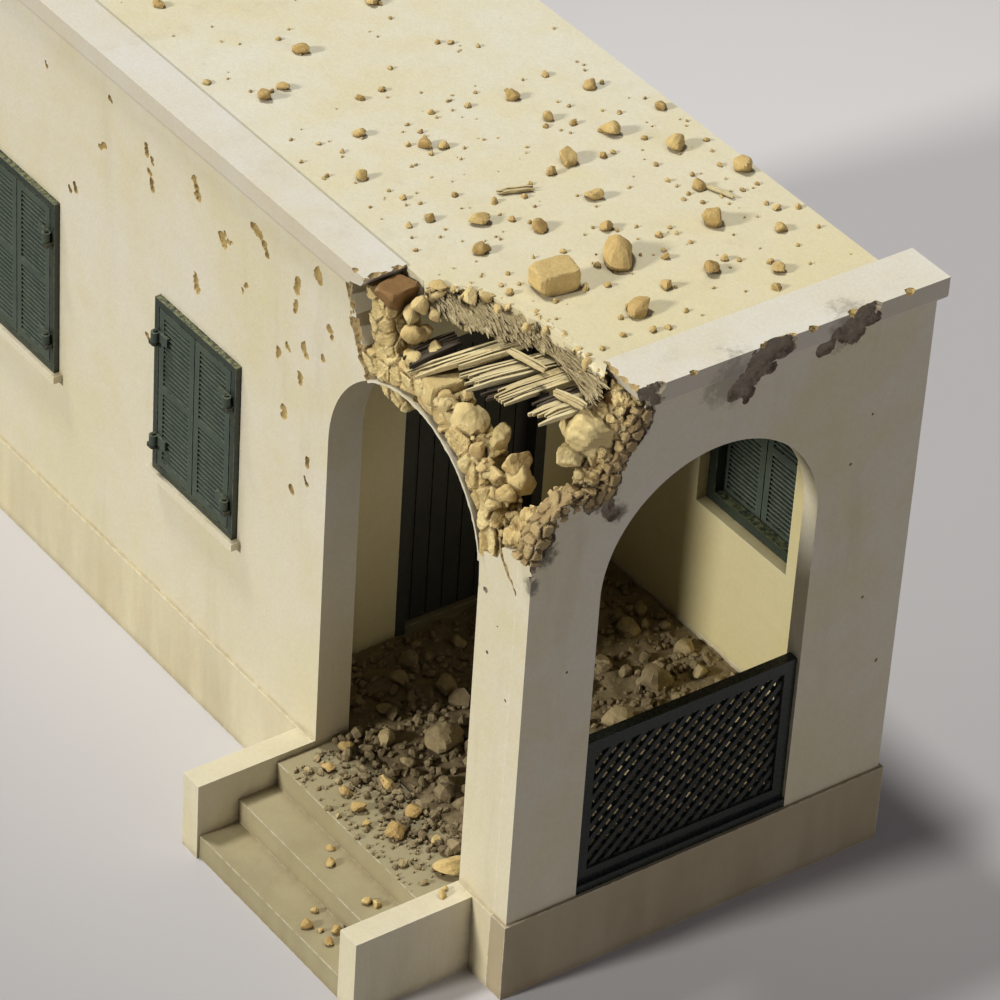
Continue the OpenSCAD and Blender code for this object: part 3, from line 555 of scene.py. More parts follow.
def stones(centres, halves, seed, turns=None, tilt=0.25, rings=9, spokes=14, cuts=13, crisp=16,
           rough=0.05, boxy=False):
    # a stone is a ball cut by random planes: along a direction its radius is the
    # soft smallest of distance / cosine over the planes, stretched to the half sizes
    rng = np.random.default_rng(seed)
    centres, halves = np.asarray(centres, float), np.asarray(halves, float)
    count = len(centres)
    ball, shell = unitBall(rings, spokes)
    planes = rng.normal(size=(count, cuts, 3))
    planes /= np.linalg.norm(planes, axis=2)[..., None]
    reach = rng.uniform(0.74, 1.0, (count, cuts))
    if boxy:
        sides = np.concatenate([np.eye(3), -np.eye(3)])
        planes[:, :6] = sides + rng.normal(0, 0.07, (count, 6, 3))
        reach[:, :6] = rng.uniform(0.80, 0.92, (count, 6))
        reach[:, 6:] = rng.uniform(0.98, 1.22, (count, cuts - 6))
    facing = np.clip(np.einsum("dk,nck->ndc", ball, planes), 0, None) / reach[:, None]
    radius = np.minimum(((facing ** crisp).sum(-1) + 1e-9) ** (-1 / crisp), 1.3)
    spread = ball[None] + 7.0 * np.arange(count)[:, None, None]
    radius = radius * (1 + rough * ripple(spread, 1.3, seed + 1))
    if turns is None:
        turns = turnsAbout(rng, count, tilt)
    points = np.einsum("nij,ndj->ndi", turns, ball[None] * radius[..., None] * halves[:, None])
    points = points + centres[:, None]
    corners, faces = joinShells(points, shell)
    return corners, faces, np.repeat(rng.uniform(0, 1, count), points.shape[1])


def splinters(starts, ends, widths, heights, seed, rows=5, wander=0.12, tip=0.3):
    # a sliver is a four-sided bar on a line that wanders a little, thinner at both tips
    rng = np.random.default_rng(seed)
    starts, ends = np.asarray(starts, float), np.asarray(ends, float)
    count = len(starts)
    along = np.linspace(0, 1, rows)
    line = ends - starts
    length = np.linalg.norm(line, axis=1)[:, None]
    ahead = line / length
    side = np.cross(ahead, [0, 0, 1.0])
    side /= np.linalg.norm(side, axis=1)[:, None]
    above = np.cross(side, ahead)
    centre = starts[:, None] + line[:, None] * along[None, :, None]
    centre = centre + rng.normal(0, wander, (count, rows, 1)) * side[:, None] \
        + rng.normal(0, wander * 0.6, (count, rows, 1)) * above[:, None]
    taper = 1 - (1 - tip) * np.abs(2 * along - 1) ** 6
    wide = np.asarray(widths)[:, None] * taper / 2
    tall = np.asarray(heights)[:, None] * taper / 2
    corners = [centre + across * wide[..., None] * side[:, None]
               + up * tall[..., None] * above[:, None]
               for across, up in ((1, 1), (-1, 1), (-1, -1), (1, -1))]
    points = np.stack(corners, 2).reshape(count, rows * 4, 3)
    caps = np.array([[0, 1, 2, 3], [rows * 4 - 1, rows * 4 - 2, rows * 4 - 3, rows * 4 - 4]])
    joined, faces = joinShells(points, [gridFaces(rows, 4, True), caps])
    return joined, faces, np.repeat(rng.uniform(0, 1, count), rows * 4)


def bundle(start, end, width, height, count, seed, uneven=0.14):
    # a board split into slivers packed side by side, their first ends the more uneven
    rng = np.random.default_rng(seed)
    start, end = np.array(start, float), np.array(end, float)
    run = end - start
    side = np.cross(run, [0, 0, 1.0])
    side /= np.linalg.norm(side)
    across = (np.arange(count) + 0.5) / count - 0.5 + rng.normal(0, 0.012, count)
    across = across[:, None] * side * (width * 0.94)
    starts = start + across + run * (uneven * rng.uniform(-0.6, 1.0, count))[:, None]
    ends = end + across + run * rng.uniform(-0.03, 0.03, count)[:, None]
    lift = rng.uniform(-0.22, 0.22, count) * height
    starts[:, 2] += lift - 0.4 * rng.uniform(0, 1, count) * min(uneven * 6, 1)
    ends[:, 2] += lift
    return splinters(starts, ends, rng.uniform(0.98, 1.3, count) * width / count,
                     rng.uniform(0.65, 0.95, count) * height, seed + 1, wander=0.05 + 0.3 * uneven,
                     tip=0.55)


def evenly(points, count):
    # the line through the points, cut into equal steps
    points = np.array(points, float)
    run = np.concatenate([[0], np.cumsum(np.linalg.norm(np.diff(points, axis=0), axis=1))])
    at = np.linspace(0, run[-1], count)
    return np.stack([np.interp(at, run, points[:, k]) for k in range(points.shape[1])], -1)


def onSideArch(angle, radius):
    # point of the side arch's circle as (Y, Z)
    angle = np.radians(angle)
    return (sideArch["middle"] + radius * np.cos(angle),
            sideArch["springing"] + radius * np.sin(angle))


def holeRim(angle, grow=0.0):
    # the broken roof's outline from above: a rounded quarter about the corner, as (X, Y)
    angle = np.radians(angle)
    power = 2 / hole["roundness"]
    return (building["outerX"] + (hole["reachX"] + grow) * np.cos(angle) ** power,
            building["frontY"] + (hole["reachY"] + grow) * np.sin(angle) ** power)


# ---- chipped walls ----

pockSet = {
    # along the wall, height and size of each bullet mark, then how far it is drawn out
    "marks": [
        (32.5, 105.7, 1.1, 1.3), (17.6, 113, 1.0, 1.5), (15.8, 111.4, 0.8, 1.2),
        (16.4, 108.9, 0.8, 1.1),
        (15.7, 106.5, 1.0, 1.2), (0.8, 114.2, 1.5, 2.0), (-9.6, 109.4, 1.2, 1.2),
        (-18.7, 115.9, 1.3, 1.9),
        (0.1, 93.6, 1.6, 1.4), (-15.4, 102.2, 1.2, 1.6), (-31.7, 112.1, 1.2, 1.6),
        (-38, 117.5, 1.4, 1.3),
        (-31.6, 107.2, 1.1, 1.3), (-26.6, 94.1, 1.1, 1.2), (-29.1, 83.2, 1.2, 1.3),
        (-36.9, 76.9, 1.1, 1.2),
        (-32.2, 67.8, 0.9, 1.2), (42.2, 91.1, 0.9, 1.5), (16.2, 72.4, 0.9, 1.2),
        (-8, 108, 1.3, 1.4),
        (-21.7, 113.8, 1.0, 2.4), (-42.3, 108.4, 1.3, 1.3), (-34.9, 100.1, 1.2, 1.3),
        (-29.6, 97.6, 0.8, 1.2),
        (-33.7, 93, 1.0, 1.2), (-36.5, 72.5, 0.8, 1.1), (-40.5, 101.5, 0.8, 1.1),
        (44.0, 90.0, 0.7, 1.3),
        (52.5, 112.6, 0.7, 1.3), (30.0, 117.0, 0.6, 1.2)],
    "depth": 0.6,
}
scarSet = {
    # across, up and radius of the spots that make up each bare patch, in millimetres
    "endWallEdge": [
        (-42.2, 94.2, 1.0), (-42.0, 96.2, 1.5), (-41.4, 98.8, 1.8), (-40.2, 101.6, 1.8),
        (-38.8, 104.2, 1.7),
        (-36.8, 106.0, 1.5), (-34.2, 107.6, 1.6), (-31.6, 107.8, 2.2), (-29.4, 106.0, 2.5),
        (-27.4, 103.6, 1.9),
        (-25.8, 101.4, 1.2), (-27.0, 106.8, 1.7), (-25.8, 109.0, 1.4), (-25.0, 111.6, 1.7),
        (-24.0, 114.0, 2.0),
        (-22.6, 116.6, 2.3), (-21.2, 119.0, 2.3), (-20.4, 121.4, 2.4)],
    "endCoping": [(-20.6, 123.4, 2.6), (-20.2, 126.0, 2.0), (-22.0, 125.0, 2.4)],
    "firstPatch": [(6.2, 120.6, 1.3), (3.4, 121.6, 2.3), (1.4, 120.4, 2.6), (0.0, 118.6, 2.2),
                   (-1.4, 117.6, 1.7), (1.6, 116.8, 1.3), (1.2, 115.2, 0.7)],
    "firstLip": [(5.6, 124.6, 3.3), (8.2, 125.0, 2.1), (2.6, 123.6, 2.9), (1.0, 122.2, 2.0)],
    "secondPatch": [(24.6, 121.2, 2.0), (21.8, 120.8, 1.8), (18.9, 120.6, 1.9), (17.0, 119.9, 1.1)],
    "secondLip": [(25.4, 124.4, 3.1), (22.2, 123.4, 2.4), (19.4, 122.6, 2.0), (26.8, 126.0, 1.8)],
    "topEdge": [(5.4, 0.2, 2.6), (8.2, 0, 1.8), (2.8, -0.6, 1.7), (25.4, 0, 2.8), (22.6, 0.4, 1.6),
                (-20.6, 0, 2.6), (13.4, 0, 0.9), (-12.2, 0, 0.8), (34.8, 0, 1.0)],
    "depth": 0.95,
}


def slab(top, bottom):
    # a closed body between two grids of points, the first one facing outwards
    rows, columns = top.shape[:2]
    flat = np.concatenate([top.reshape(-1, 3), bottom.reshape(-1, 3)])
    grid = gridFaces(rows, columns)
    edge = np.concatenate([np.arange(rows) * columns, (rows - 1) * columns + np.arange(1, columns),
                           np.arange(rows - 2, -1, -1) * columns + columns - 1,
                           np.arange(columns - 2, 0, -1)])
    after, under = np.roll(edge, -1), rows * columns
    sides = np.stack([after, edge, edge + under, after + under], -1)
    return flat, [grid, grid[:, ::-1] + under, sides]


def scar(origin, across, up, spots, depth, seed, step=0.26, ragged=1.0, tint=0.5):
    # a slab that bites into a wall: full depth inside the spots, none past their edges,
    # with ripples that make the edge ragged and the floor rough
    origin, across, up = (np.array(value, float) for value in (origin, across, up))
    out = np.cross(across, up)
    spots = np.array(spots, float)
    low = (spots[:, :2] - spots[:, 2:3]).min(0) - 1.2
    high = (spots[:, :2] + spots[:, 2:3]).max(0) + 1.2
    u, v = np.meshgrid(np.arange(low[0], high[0], step), np.arange(low[1], high[1], step),
                       indexing="ij")
    away = np.hypot(u[..., None] - spots[:, 0], v[..., None] - spots[:, 1]) / spots[:, 2]
    flat = np.stack([u, v, 0 * u + seed * 1.7], -1)
    edge = 0.30 * ripple(flat, 4.4, seed, 3) + 0.10 * ripple(flat, 0.8, seed + 1, 2)
    share = away.min(-1) + ragged * edge
    deepest = depth * (0.80 + 0.20 * ripple(flat, 1.9, seed + 2, 4))
    sink = np.clip((1 - share) * depth * 2.2, -0.5, deepest)
    place = origin + u[..., None] * across + v[..., None] * up
    points, faces = slab(place + 1.4 * out, place - sink[..., None] * out)
    return points, faces, tint


def chipNode(node, name, material, cuts):
    # a copy of the CAD solid with scars cut into it, each group showing its own bare material
    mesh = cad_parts[node].data.copy()
    mesh.materials.clear()
    mesh.materials.append(material)
    welded = bmesh.new()
    welded.from_mesh(mesh)
    bmesh.ops.remove_doubles(welded, verts=welded.verts, dist=0.001 * mm)
    bmesh.ops.dissolve_limit(welded, angle_limit=0.001, verts=welded.verts, edges=welded.edges)
    welded.to_mesh(mesh)
    welded.free()
    piece = bpy.data.objects.new(name, mesh)
    scene.collection.objects.link(piece)
    for bare, parts in cuts:
        for part in parts:
            cutter = linkMesh(name + "Cutter", [part], bare)
            cut = piece.modifiers.new("chips", "BOOLEAN")
            cut.operation, cut.solver, cut.object = "DIFFERENCE", "EXACT", cutter
            cut.material_mode = "TRANSFER"
    bpy.context.view_layer.update()
    chipped = piece.evaluated_get(bpy.context.evaluated_depsgraph_get())
    shaped = bpy.data.meshes.new_from_object(chipped)
    for cut in list(piece.modifiers):
        bpy.data.objects.remove(cut.object)
    piece.modifiers.clear()
    piece.data = shaped
    shaped.polygons.foreach_set("use_smooth", np.zeros(len(shaped.polygons), bool))
    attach(piece, "house")
    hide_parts(node)


def pocks():
    # each mark is three spots in a leaning row; marks that nearly touch share one slab
    rng = np.random.default_rng(3)
    groups = []
    for y, z, size, drawn in pockSet["marks"]:
        lean = rng.normal(-0.35, 0.5)
        along = np.linspace(-0.5, 0.5, 3)[:, None] * size * drawn
        spots = np.array([-y, z]) + along * np.array([math.sin(lean), math.cos(lean)])
        spots = spots + rng.normal(0, 0.12 * size, spots.shape)
        mark = np.column_stack([spots, size * rng.uniform(0.55, 0.85, 3)])
        low, high = mark[:, :2].min(0) - 2.8, mark[:, :2].max(0) + 2.8
        near = [group for group in groups if (group[0] < high).all() and (group[1] > low).all()]
        groups = [group for group in groups if not any(group is other for other in near)]
        groups.append((np.min([low] + [group[0] for group in near], axis=0),
                       np.max([high] + [group[1] for group in near], axis=0),
                       np.concatenate([mark] + [group[2] for group in near])))
    corners, faces, start = [], [], 0
    for index, group in enumerate(groups):
        points, parts, _ = scar((building["outerX"], 0, 0), (0, -1, 0), (0, 0, 1), group[2],
                                pockSet["depth"] * rng.uniform(0.7, 1.1), 200 + 7 * index, 0.22,
                                1.5)
        corners.append(points)
        faces += [part + start for part in parts]
        start += len(points)
    return np.concatenate(corners), faces, 0.5


def strung(points, radius, step=1.0):
    # spots of one radius strung along a line of (across, up) points
    points = np.array(points, float)
    run = np.concatenate([[0], np.cumsum(np.hypot(*np.diff(points, axis=0).T))])
    at = np.arange(0, run[-1] + step * 0.5, step)
    return np.stack([np.interp(at, run, points[:, 0]), np.interp(at, run, points[:, 1]),
                     np.full(len(at), radius)], -1)


def chipWalls():
    outer, front = building["outerX"], building["frontY"]
    depth, wallTop, copingTop = scarSet["depth"], building["wallTop"], building["copingTop"]
    toLeft = ((outer, 0, 0), (0, -1, 0), (0, 0, 1))
    toFront = ((0, front, 0), (1, 0, 0), (0, 0, 1))
    breakEdge = scar(*toLeft, strung([(55.4, 103.6), (54.2, 106.4), (51.8, 110.0), (50.2, 113.6),
                                      (48.6, 117.4),
                                    (47.4, 121.6)], 1.15, 1.2), 0.9, 21, ragged=1.7)
    chipNode("long_wall", "longWallPlaster", plasterWall,
             [(bareOchre, [pocks()]), (mortar, [breakEdge])])
    crack = scar(*toLeft, strung([(94.2, 96.8), (95.2, 94.6), (96.0, 92.9), (96.8, 92.4),
                                  (97.8, 90.8), (98.8, 90.2),
                                (100.2, 88.2)], 0.42, 0.35), 0.5, 23, 0.12, 1.2)
    wedge = scar(*toLeft, [(103.4, 96.6, 1.5), (103.2, 94.4, 1.2), (103.6, 92.6, 0.8),
                           (101.2, 97.6, 1.3),
                           (88.6, 91.6, 1.1), (90.6, 92.6, 1.0), (99.0, 97.2, 0.9)], 0.9, 24,
                           ragged=1.3)
    specks = scar(*toLeft, [(91.5, 83.8, 0.6), (100.6, 90.4, 0.45), (95.6, 78.6, 0.3),
                            (99.2, 64.8, 0.4),
                            (93.2, 71.4, 0.3)], 0.4, 25, 0.14, 1.2)
    corner = scar(*toFront, [(-42.2, 96.2, 1.2), (-42.2, 94.2, 0.9), (-41.0, 97.2, 1.4)], 0.9, 26)
    chipNode("corner_pier", "pierPlaster", plasterWall,
             [(mortar, [crack, wedge]), (charredStone, [specks, corner])])
    edge = scar(*toFront, scarSet["endWallEdge"], depth, 31, ragged=1.3)
    first = scar(*toFront, scarSet["firstPatch"], depth, 34)
    second = scar(*toFront, scarSet["secondPatch"], depth * 0.8, 37)
    nicks = scar(*toFront, [(-14.6, 103.2, 0.45), (-12.9, 88.8, 0.5), (26.8, 92.2, 0.35),
                            (33.4, 60.2, 0.4),
                            (30.6, 101.6, 0.3), (38.6, 43.6, 0.45), (-33.2, 70.4, 0.35)], 0.3, 38,
                            0.16)
    chipNode("front_wall", "frontWallPlaster", plasterWall,
             [(charredStone, [edge, first, second]), (bareOchre, [nicks])])
    lip = ((0, span("front_coping")[0][1], 0), (1, 0, 0), (0, 0, 1))
    slant = ((0, span("front_coping")[0][1], copingTop), (1, 0, 0),
             (0, math.sqrt(0.5), math.sqrt(0.5)))
    end = [(-23.6, front + 0.6, 1.3), (-23.8, front + 3.4, 1.2), (-24.0, front + 6.2, 1.5),
           (-23.8, front + 8.4, 1.1)]
    chipNode("front_coping", "frontCopingPlaster", plasterCoping,
             [(charredStone, [scar(*lip, scarSet["firstLip"], depth * 1.3, 41),
                              scar(*lip, scarSet["secondLip"], depth * 1.3, 44),
                              scar(*lip, scarSet["endCoping"], depth * 1.3, 47)]),
              (bareOchre, [scar(*slant, scarSet["topEdge"], 0.9, 50, ragged=1.3)]),
              (mortar, [scar((0, 0, copingTop), (1, 0, 0), (0, 1, 0), end, 1.0, 53)])])
    side = ((span("left_coping")[0][0], 0, 0), (0, -1, 0), (0, 0, 1))
    tip = [(54.8, 126.0, 1.5), (53.6, 124.0, 1.4), (51.6, 122.4, 1.2), (49.0, 122.0, 0.9),
           (50.6, 126.6, 0.7)]
    across = [(outer + 0.6, -54.4, 1.3), (outer + 2.8, -54.8, 1.2), (outer + 5.2, -54.2, 1.4),
              (outer + 7.2, -54.8, 1.1)]
    chipNode("left_coping", "leftCopingPlaster", plasterCoping,
             [(mortar, [scar(*side, tip, 0.9, 56), scar((0, 0, copingTop), (1, 0, 0), (0, 1, 0),
                                                        across, 0.9, 59)])])


chipWalls()
print("walls chipped")


# ---- bared masonry ----

masonrySet = {
    # width of the joints, depth of the joints and how unevenly the stones stand, in millimetres
    "ring": (0.75, 0.60, 0.26), "band": (0.6, 0.55, 0.32), "rubble": (0.6, 0.6, 0.4),
    # big stones lying on the ring's back: centre, half sizes
    "blocks": [((-38.7, -70.9, 112.9), (3.9, 3.7, 2.6))],
    "boulders": [
        ((-38.2, -79.4, 110.5), (2.8, 3.0, 1.9)), ((-36.4, -85.2, 110.2), (2.0, 1.8, 1.9)),
        ((-37.2, -84.6, 107.8), (1.9, 1.6, 1.8)), ((-36.7, -89.9, 107.6), (2.4, 1.9, 2.0)),
        ((-36.9, -92.0, 105.0), (2.5, 2.1, 2.2)), ((-39.3, -88.6, 104.8), (1.7, 1.5, 1.9)),
        ((-40.3, -92.4, 103.8), (1.7, 1.5, 1.6)), ((-40.2, -74.9, 112.5), (1.9, 1.6, 1.3))],
}


def cobbled(points, outward, seeds, seed, joint, depth, uneven):
    # fitted stones: a point belongs to its nearest seed and sinks into a joint where a
    # second seed is nearly as near; each stone stands in or out a little and leans
    rng = np.random.default_rng(seed)
    near, cell = np.empty((len(points), 2)), np.empty(len(points), int)
    for part in np.array_split(np.arange(len(points)), 1 + len(points) // 3000):
        gap = np.linalg.norm(points[part, None] - seeds[None], axis=2)
        two = np.argpartition(gap, 1, axis=1)[:, :2]
        both = np.take_along_axis(gap, two, 1)
        near[part] = np.sort(both, axis=1)
        cell[part] = two[np.arange(len(part)), both.argmin(1)]
    inside = np.clip((near[:, 1] - near[:, 0]) / joint, 0, 1)
    inside = inside * inside * (3 - 2 * inside)
    stand = rng.uniform(-1, 1, len(seeds)) * uneven
    lean = rng.normal(0, 0.13, (len(seeds), 3))
    leaning = ((points - seeds[cell]) * lean[cell]).sum(1)
    high = (inside - 1) * depth + inside * (stand[cell] + leaning)
    high = high + 0.10 * ripple(points, 1.5, seed + 1, 3) + 0.05 * ripple(points, 0.6, seed + 2, 2)
    tint = rng.uniform(0, 0.8, len(seeds))[cell] * inside + (1 - inside)
    return points + outward * high[:, None], tint


def boxSection(columns, wide, high, power=0.36):
    # points of a rounded box, evenly spaced round it
    turn = np.linspace(0, 2 * math.pi, 1441)
    x = wide * np.sign(np.cos(turn)) * np.abs(np.cos(turn)) ** power
    y = high * np.sign(np.sin(turn)) * np.abs(np.sin(turn)) ** power
    run = np.concatenate([[0], np.cumsum(np.hypot(np.diff(x), np.diff(y)))])
    at = np.linspace(0, run[-1], columns, endpoint=False)
    return np.interp(at, run, x) / wide, np.interp(at, run, y) / high


def masonryBar(rows, stride, seed, kind, columns=96, wide=3.5, high=2.8):
    # a bar of fitted stones: a rounded box carried along rows of (centre, half across, half up)
    centre, across, up = (np.array([row[k] for row in rows], float) for k in range(3))
    x, y = boxSection(columns, wide, high)
    points = centre[:, None] + x[None, :, None] * across[:, None] + y[None, :, None] * up[:, None]
    outward = points - centre[:, None]
    outward /= np.linalg.norm(outward, axis=2)[..., None]
    rng = np.random.default_rng(seed)
    row, column = np.meshgrid(np.arange(0, len(rows), stride[0]), np.arange(0, columns, stride[1]),
                              indexing="ij")
    row = np.clip(row + rng.integers(-stride[0] // 3, stride[0] // 3 + 1, row.shape), 0,
                  len(rows) - 1)
    column = (column + rng.integers(-stride[1] // 3, stride[1] // 3 + 1, column.shape)) % columns
    seeds = points[row.ravel(), column.ravel()] + rng.normal(0, 0.25, (row.size, 3))
    flat, tint = cobbled(points.reshape(-1, 3), outward.reshape(-1, 3), seeds, seed + 1,
                         *masonrySet[kind])
    count, ring = len(rows), np.arange(columns)
    flat = np.concatenate([flat, centre[:1], centre[-1:]])
    first = np.stack([np.full(columns, count * columns), ring, (ring + 1) % columns], -1)
    last = (count - 1) * columns
    final = np.stack([np.full(columns, count * columns + 1), last + (ring + 1) % columns,
                      last + ring], -1)
    return flat, [gridFaces(count, columns, True), first, final], np.append(tint, (1, 1))


def masonryLump(centre, half, seeds, seed, rings=46, spokes=68):
    # a heap of small fitted stones: a rippled ball stretched to the half sizes
    ball, shell = unitBall(rings, spokes)
    bumps = 1 + 0.16 * ripple(ball, 1.1, seed, 3)
    points = np.array(centre) + ball * np.array(half) * bumps[:, None]
    rng = np.random.default_rng(seed)
    aim = rng.normal(size=(seeds, 3))
    aim /= np.linalg.norm(aim, axis=1)[:, None]
    places = np.array(centre) + aim * np.array(half) * rng.uniform(0.85, 1.05, (seeds, 1))
    flat, tint = cobbled(points, ball, places, seed + 3, *masonrySet["rubble"])
    return flat, shell, tint


def archRing():
    # the ring's fitted stones, then the blocks and boulders left on its back
    radius, thick = sideArch["radius"], sideArch["stone"]
    rows = []
    for angle in np.linspace(sideArch["ringFrom"], sideArch["ringTo"], 190):
        y, z = onSideArch(angle, radius + thick * 0.53)
        out = np.array([0, math.cos(math.radians(angle)), math.sin(math.radians(angle))])
        rows.append(((sideMiddle, y, z), (3.62, 0, 0), out * thick * 0.48))
    ring = masonryBar(rows, (15, 16), 61, "ring")
    centres, halves = zip(*masonrySet["blocks"])
    blocks = stones(centres, halves, 63, rings=24, spokes=36, cuts=12, crisp=15, rough=0.035,
                    boxy=True,
                    turns=spun(-9))
    centres, halves = zip(*masonrySet["boulders"])
    boulders = stones(centres, halves, 65, tilt=0.3, rings=26, spokes=38, cuts=11, crisp=13,
                      rough=0.09)
    rng = np.random.default_rng(66)
    angles = rng.uniform(sideArch["ringFrom"] + 4, sideArch["ringTo"] - 8, 60)
    y, z = onSideArch(angles, radius + thick + rng.uniform(-0.3, 0.5, 60))
    small = np.stack([rng.uniform(building["outerX"] + 1.0, building["innerX"] - 1.0, 60), y, z],
                     -1)
    crumbs = stones(small, rng.uniform(0.45, 1.3, (60, 1)) * rng.uniform(0.75, 1.2, (60, 3)), 67,
                    tilt=0.6,
                    rings=9, spokes=13, cuts=12, crisp=9, rough=0.07)
    makePiece("ringStones", [ring, blocks, boulders, crumbs], masonry,
              ["arch_stones"])


def archLining():
    # thin plaster left on the underside of the ring, its inner edge ragged
    radius = sideArch["radius"]
    angles = np.linspace(58, 172, 220)
    flat = angles[:, None] * np.array([[1.0, 0.3, 0]])
    ragged = np.clip(2.2 + 1.3 * ripple(flat, 19, 68, 3), 0.5, 4.2)
    thick = 0.40 + 0.12 * ripple(flat, 6, 69, 2)
    outer = building["outerX"] - 0.04
    corners = []
    for inward, sink in ((0, 0.15), (0, -1), (1, -1), (1, 0.15)):
        y, z = onSideArch(angles, radius + sink * thick)
        corners.append(np.stack([outer + inward * ragged, y, z], -1))
    points, count = np.stack(corners, 1).reshape(-1, 3), len(angles)
    caps = np.array([[0, 1, 2, 3], [count * 4 - 1, count * 4 - 2, count * 4 - 3, count * 4 - 4]])
    makePiece("archLining", [(points, [gridFaces(count, 4, True), caps], 0.5)], plasterWall)


def brokenMasonry():
    outer, innerY = building["outerX"], building["innerY"]
    wallTop, pier = building["wallTop"], building["pierTop"]
    # edge of the long wall: a leaning bar of stones from the arch's shoulder up to the coping
    rows = []
    for share in np.linspace(0, 1, 90):
        rows.append(((sideMiddle + 0.05, -60.2 + 5.6 * share, 105.2 + 18.6 * share), (3.6, 0, 0),
                     (0, 4.3 - 1.1 * share, 0.9)))
    band = masonryBar(rows, (14, 13), 71, "band", 110, 3.6, 3.8)
    crown = stones([(-40.0, -62.4, 119.0), (-37.4, -62.8, 118.4), (-40.4, -64.8, 115.6),
                    (-36.6, -65.4, 116.2),
                    (-38.6, -60.6, 121.4), (-36.2, -60.4, 122.2), (-37.8, -62.3, 124.0),
                    (-34.4, -61.6, 124.6),
                    (-36.0, -64.0, 122.4)],
                   [(2.0, 1.8, 1.7), (1.9, 1.7, 1.5), (1.8, 1.6, 1.3), (1.6, 1.7, 1.4),
                    (1.9, 1.7, 1.4),
                    (1.5, 1.6, 1.3), (1.7, 1.5, 1.5), (1.9, 1.5, 1.3), (1.3, 1.4, 1.1)], 74,
                    tilt=0.4,
                   rings=15, spokes=22, cuts=14, crisp=8)
    makePiece("wallRubble", [band, crown], masonry, ["wall_stones"])
    # small fitted rubble on the corner pier, sloping up to the end wall's broken edge
    lumps = [((outer + 3.6, innerY + 3.0, pier - 0.2), (3.5, 4.2, 4.6), 60),
             ((outer + 4.0, innerY + 7.0, pier - 3.0), (3.3, 3.0, 4.6), 40),
             ((outer + 4.4, innerY + 0.2, pier + 3.6), (3.7, 3.3, 4.6), 60),
             ((outer + 8.4, innerY - 0.4, pier + 7.0), (4.0, 2.9, 3.8), 55)]
    heapParts = [masonryLump(centre, half, seeds, 75 + 4 * k) for k,
                 (centre, half, seeds) in enumerate(lumps)]
    makePiece("pierRubble", heapParts, masonry, ["pier_stones"])
    x = outer + hole["reachX"]
    lumps = [((x - 4.4, innerY - 0.2, pier + 11.4), (3.0, 2.4, 4.0), 45),
             ((x - 2.6, innerY + 0.2, pier + 15.6), (3.0, 2.9, 4.2), 50),
             ((x + 0.4, innerY - 0.2, wallTop - 5.0), (2.9, 2.9, 4.2), 50),
             ((x + 2.2, innerY + 0.8, wallTop - 0.6), (2.8, 3.5, 3.2), 50)]
    heapParts = [masonryLump(centre, half, seeds, 95 + 4 * k) for k,
                 (centre, half, seeds) in enumerate(lumps)]
    boulders = stones([(-29.3, -98.7, 117.0), (-32.0, -98.9, 113.0), (-25.6, -97.8, 119.4)],
                      [(4.7, 3.2, 3.6), (2.4, 1.9, 2.2), (2.2, 2.2, 1.9)], 79, tilt=0.25, rings=34,
                      spokes=50,
                      cuts=12, crisp=12, rough=0.11)
    makePiece("endRubble", [*heapParts, boulders], masonry, ["front_stones"])
    edge = np.array([(-42.0, 97.0), (-41.2, 100.2), (-39.6, 103.2), (-37.0, 105.7), (-33.6, 106.8),
                     (-30.2, 105.7),
                     (-28.0, 105.2), (-26.4, 107.4), (-25.6, 110.2), (-24.0, 113.8), (-21.8, 117.6),
                     (-20.6, 121.2)])
    path = evenly(edge, 130)
    step = np.gradient(path, axis=0)
    step /= np.linalg.norm(step, axis=1)[:, None]
    middle = (building["frontY"] + innerY) / 2
    rows = [((x, middle + 0.05, z), (0, 2.0, 0), (-down * 1.9, 0, along * 1.9))
            for (x, z), (along, down) in zip(path, step)]
    broken = masonryBar(rows, (8, 10), 83, "rubble", 60, 2.0, 1.5)
    makePiece("endEdge", [broken], mortar)
    red = stones([(-23.3, -99.0, 120.6)], [(1.7, 1.9, 2.7)], 80, tilt=0.25, rings=18, spokes=26,
                 crisp=12)
    makePiece("endBrick", [red], brick)


archRing()
archLining()
brokenMasonry()
print("masonry built")


# ---- splintered boards and the roof's broken edge ----

lathSet = {
    # start, end, width, thickness and number of slivers of each split board in the hole
    "boards": [
        ((-42.0, -67.6, 114.8), (-26.2, -75.4, 120.6), 3.4, 1.3, 8),
        ((-38.0, -71.0, 116.4), (-26.4, -76.9, 120.6), 2.6, 1.2, 6),
        ((-40.2, -80.2, 120.0), (-22.3, -84.2, 120.9), 4.8, 1.2, 11),
        ((-38.6, -86.8, 120.0), (-22.3, -88.4, 120.9), 4.2, 1.2, 9),
        ((-36.9, -95.0, 120.2), (-25.6, -96.0, 120.9), 4.4, 1.2, 9)],
    "stub": ((-41.8, -64.9, 115.6), (-32.6, -66.4, 117.6), 4.0, 1.5, 10),
    "cross": [((-30.6, -78.0, 121.8), (-29.1, -86.6, 122.1), 1.5, 0.8, 3),
              ((-31.2, -92.2, 121.8), (-29.6, -98.6, 122.0), 1.5, 0.8, 3)],
    "under": [((-41.0, -66.8, 113.4), (-33.0, -69.0, 115.4), 3.6, 1.2, 8),
              ((-39.4, -83.8, 118.8), (-24.0, -86.8, 119.4), 2.6, 1.0, 6),
              ((-34.0, -90.6, 118.8), (-24.2, -91.4, 119.4), 2.8, 1.0, 6)],
}
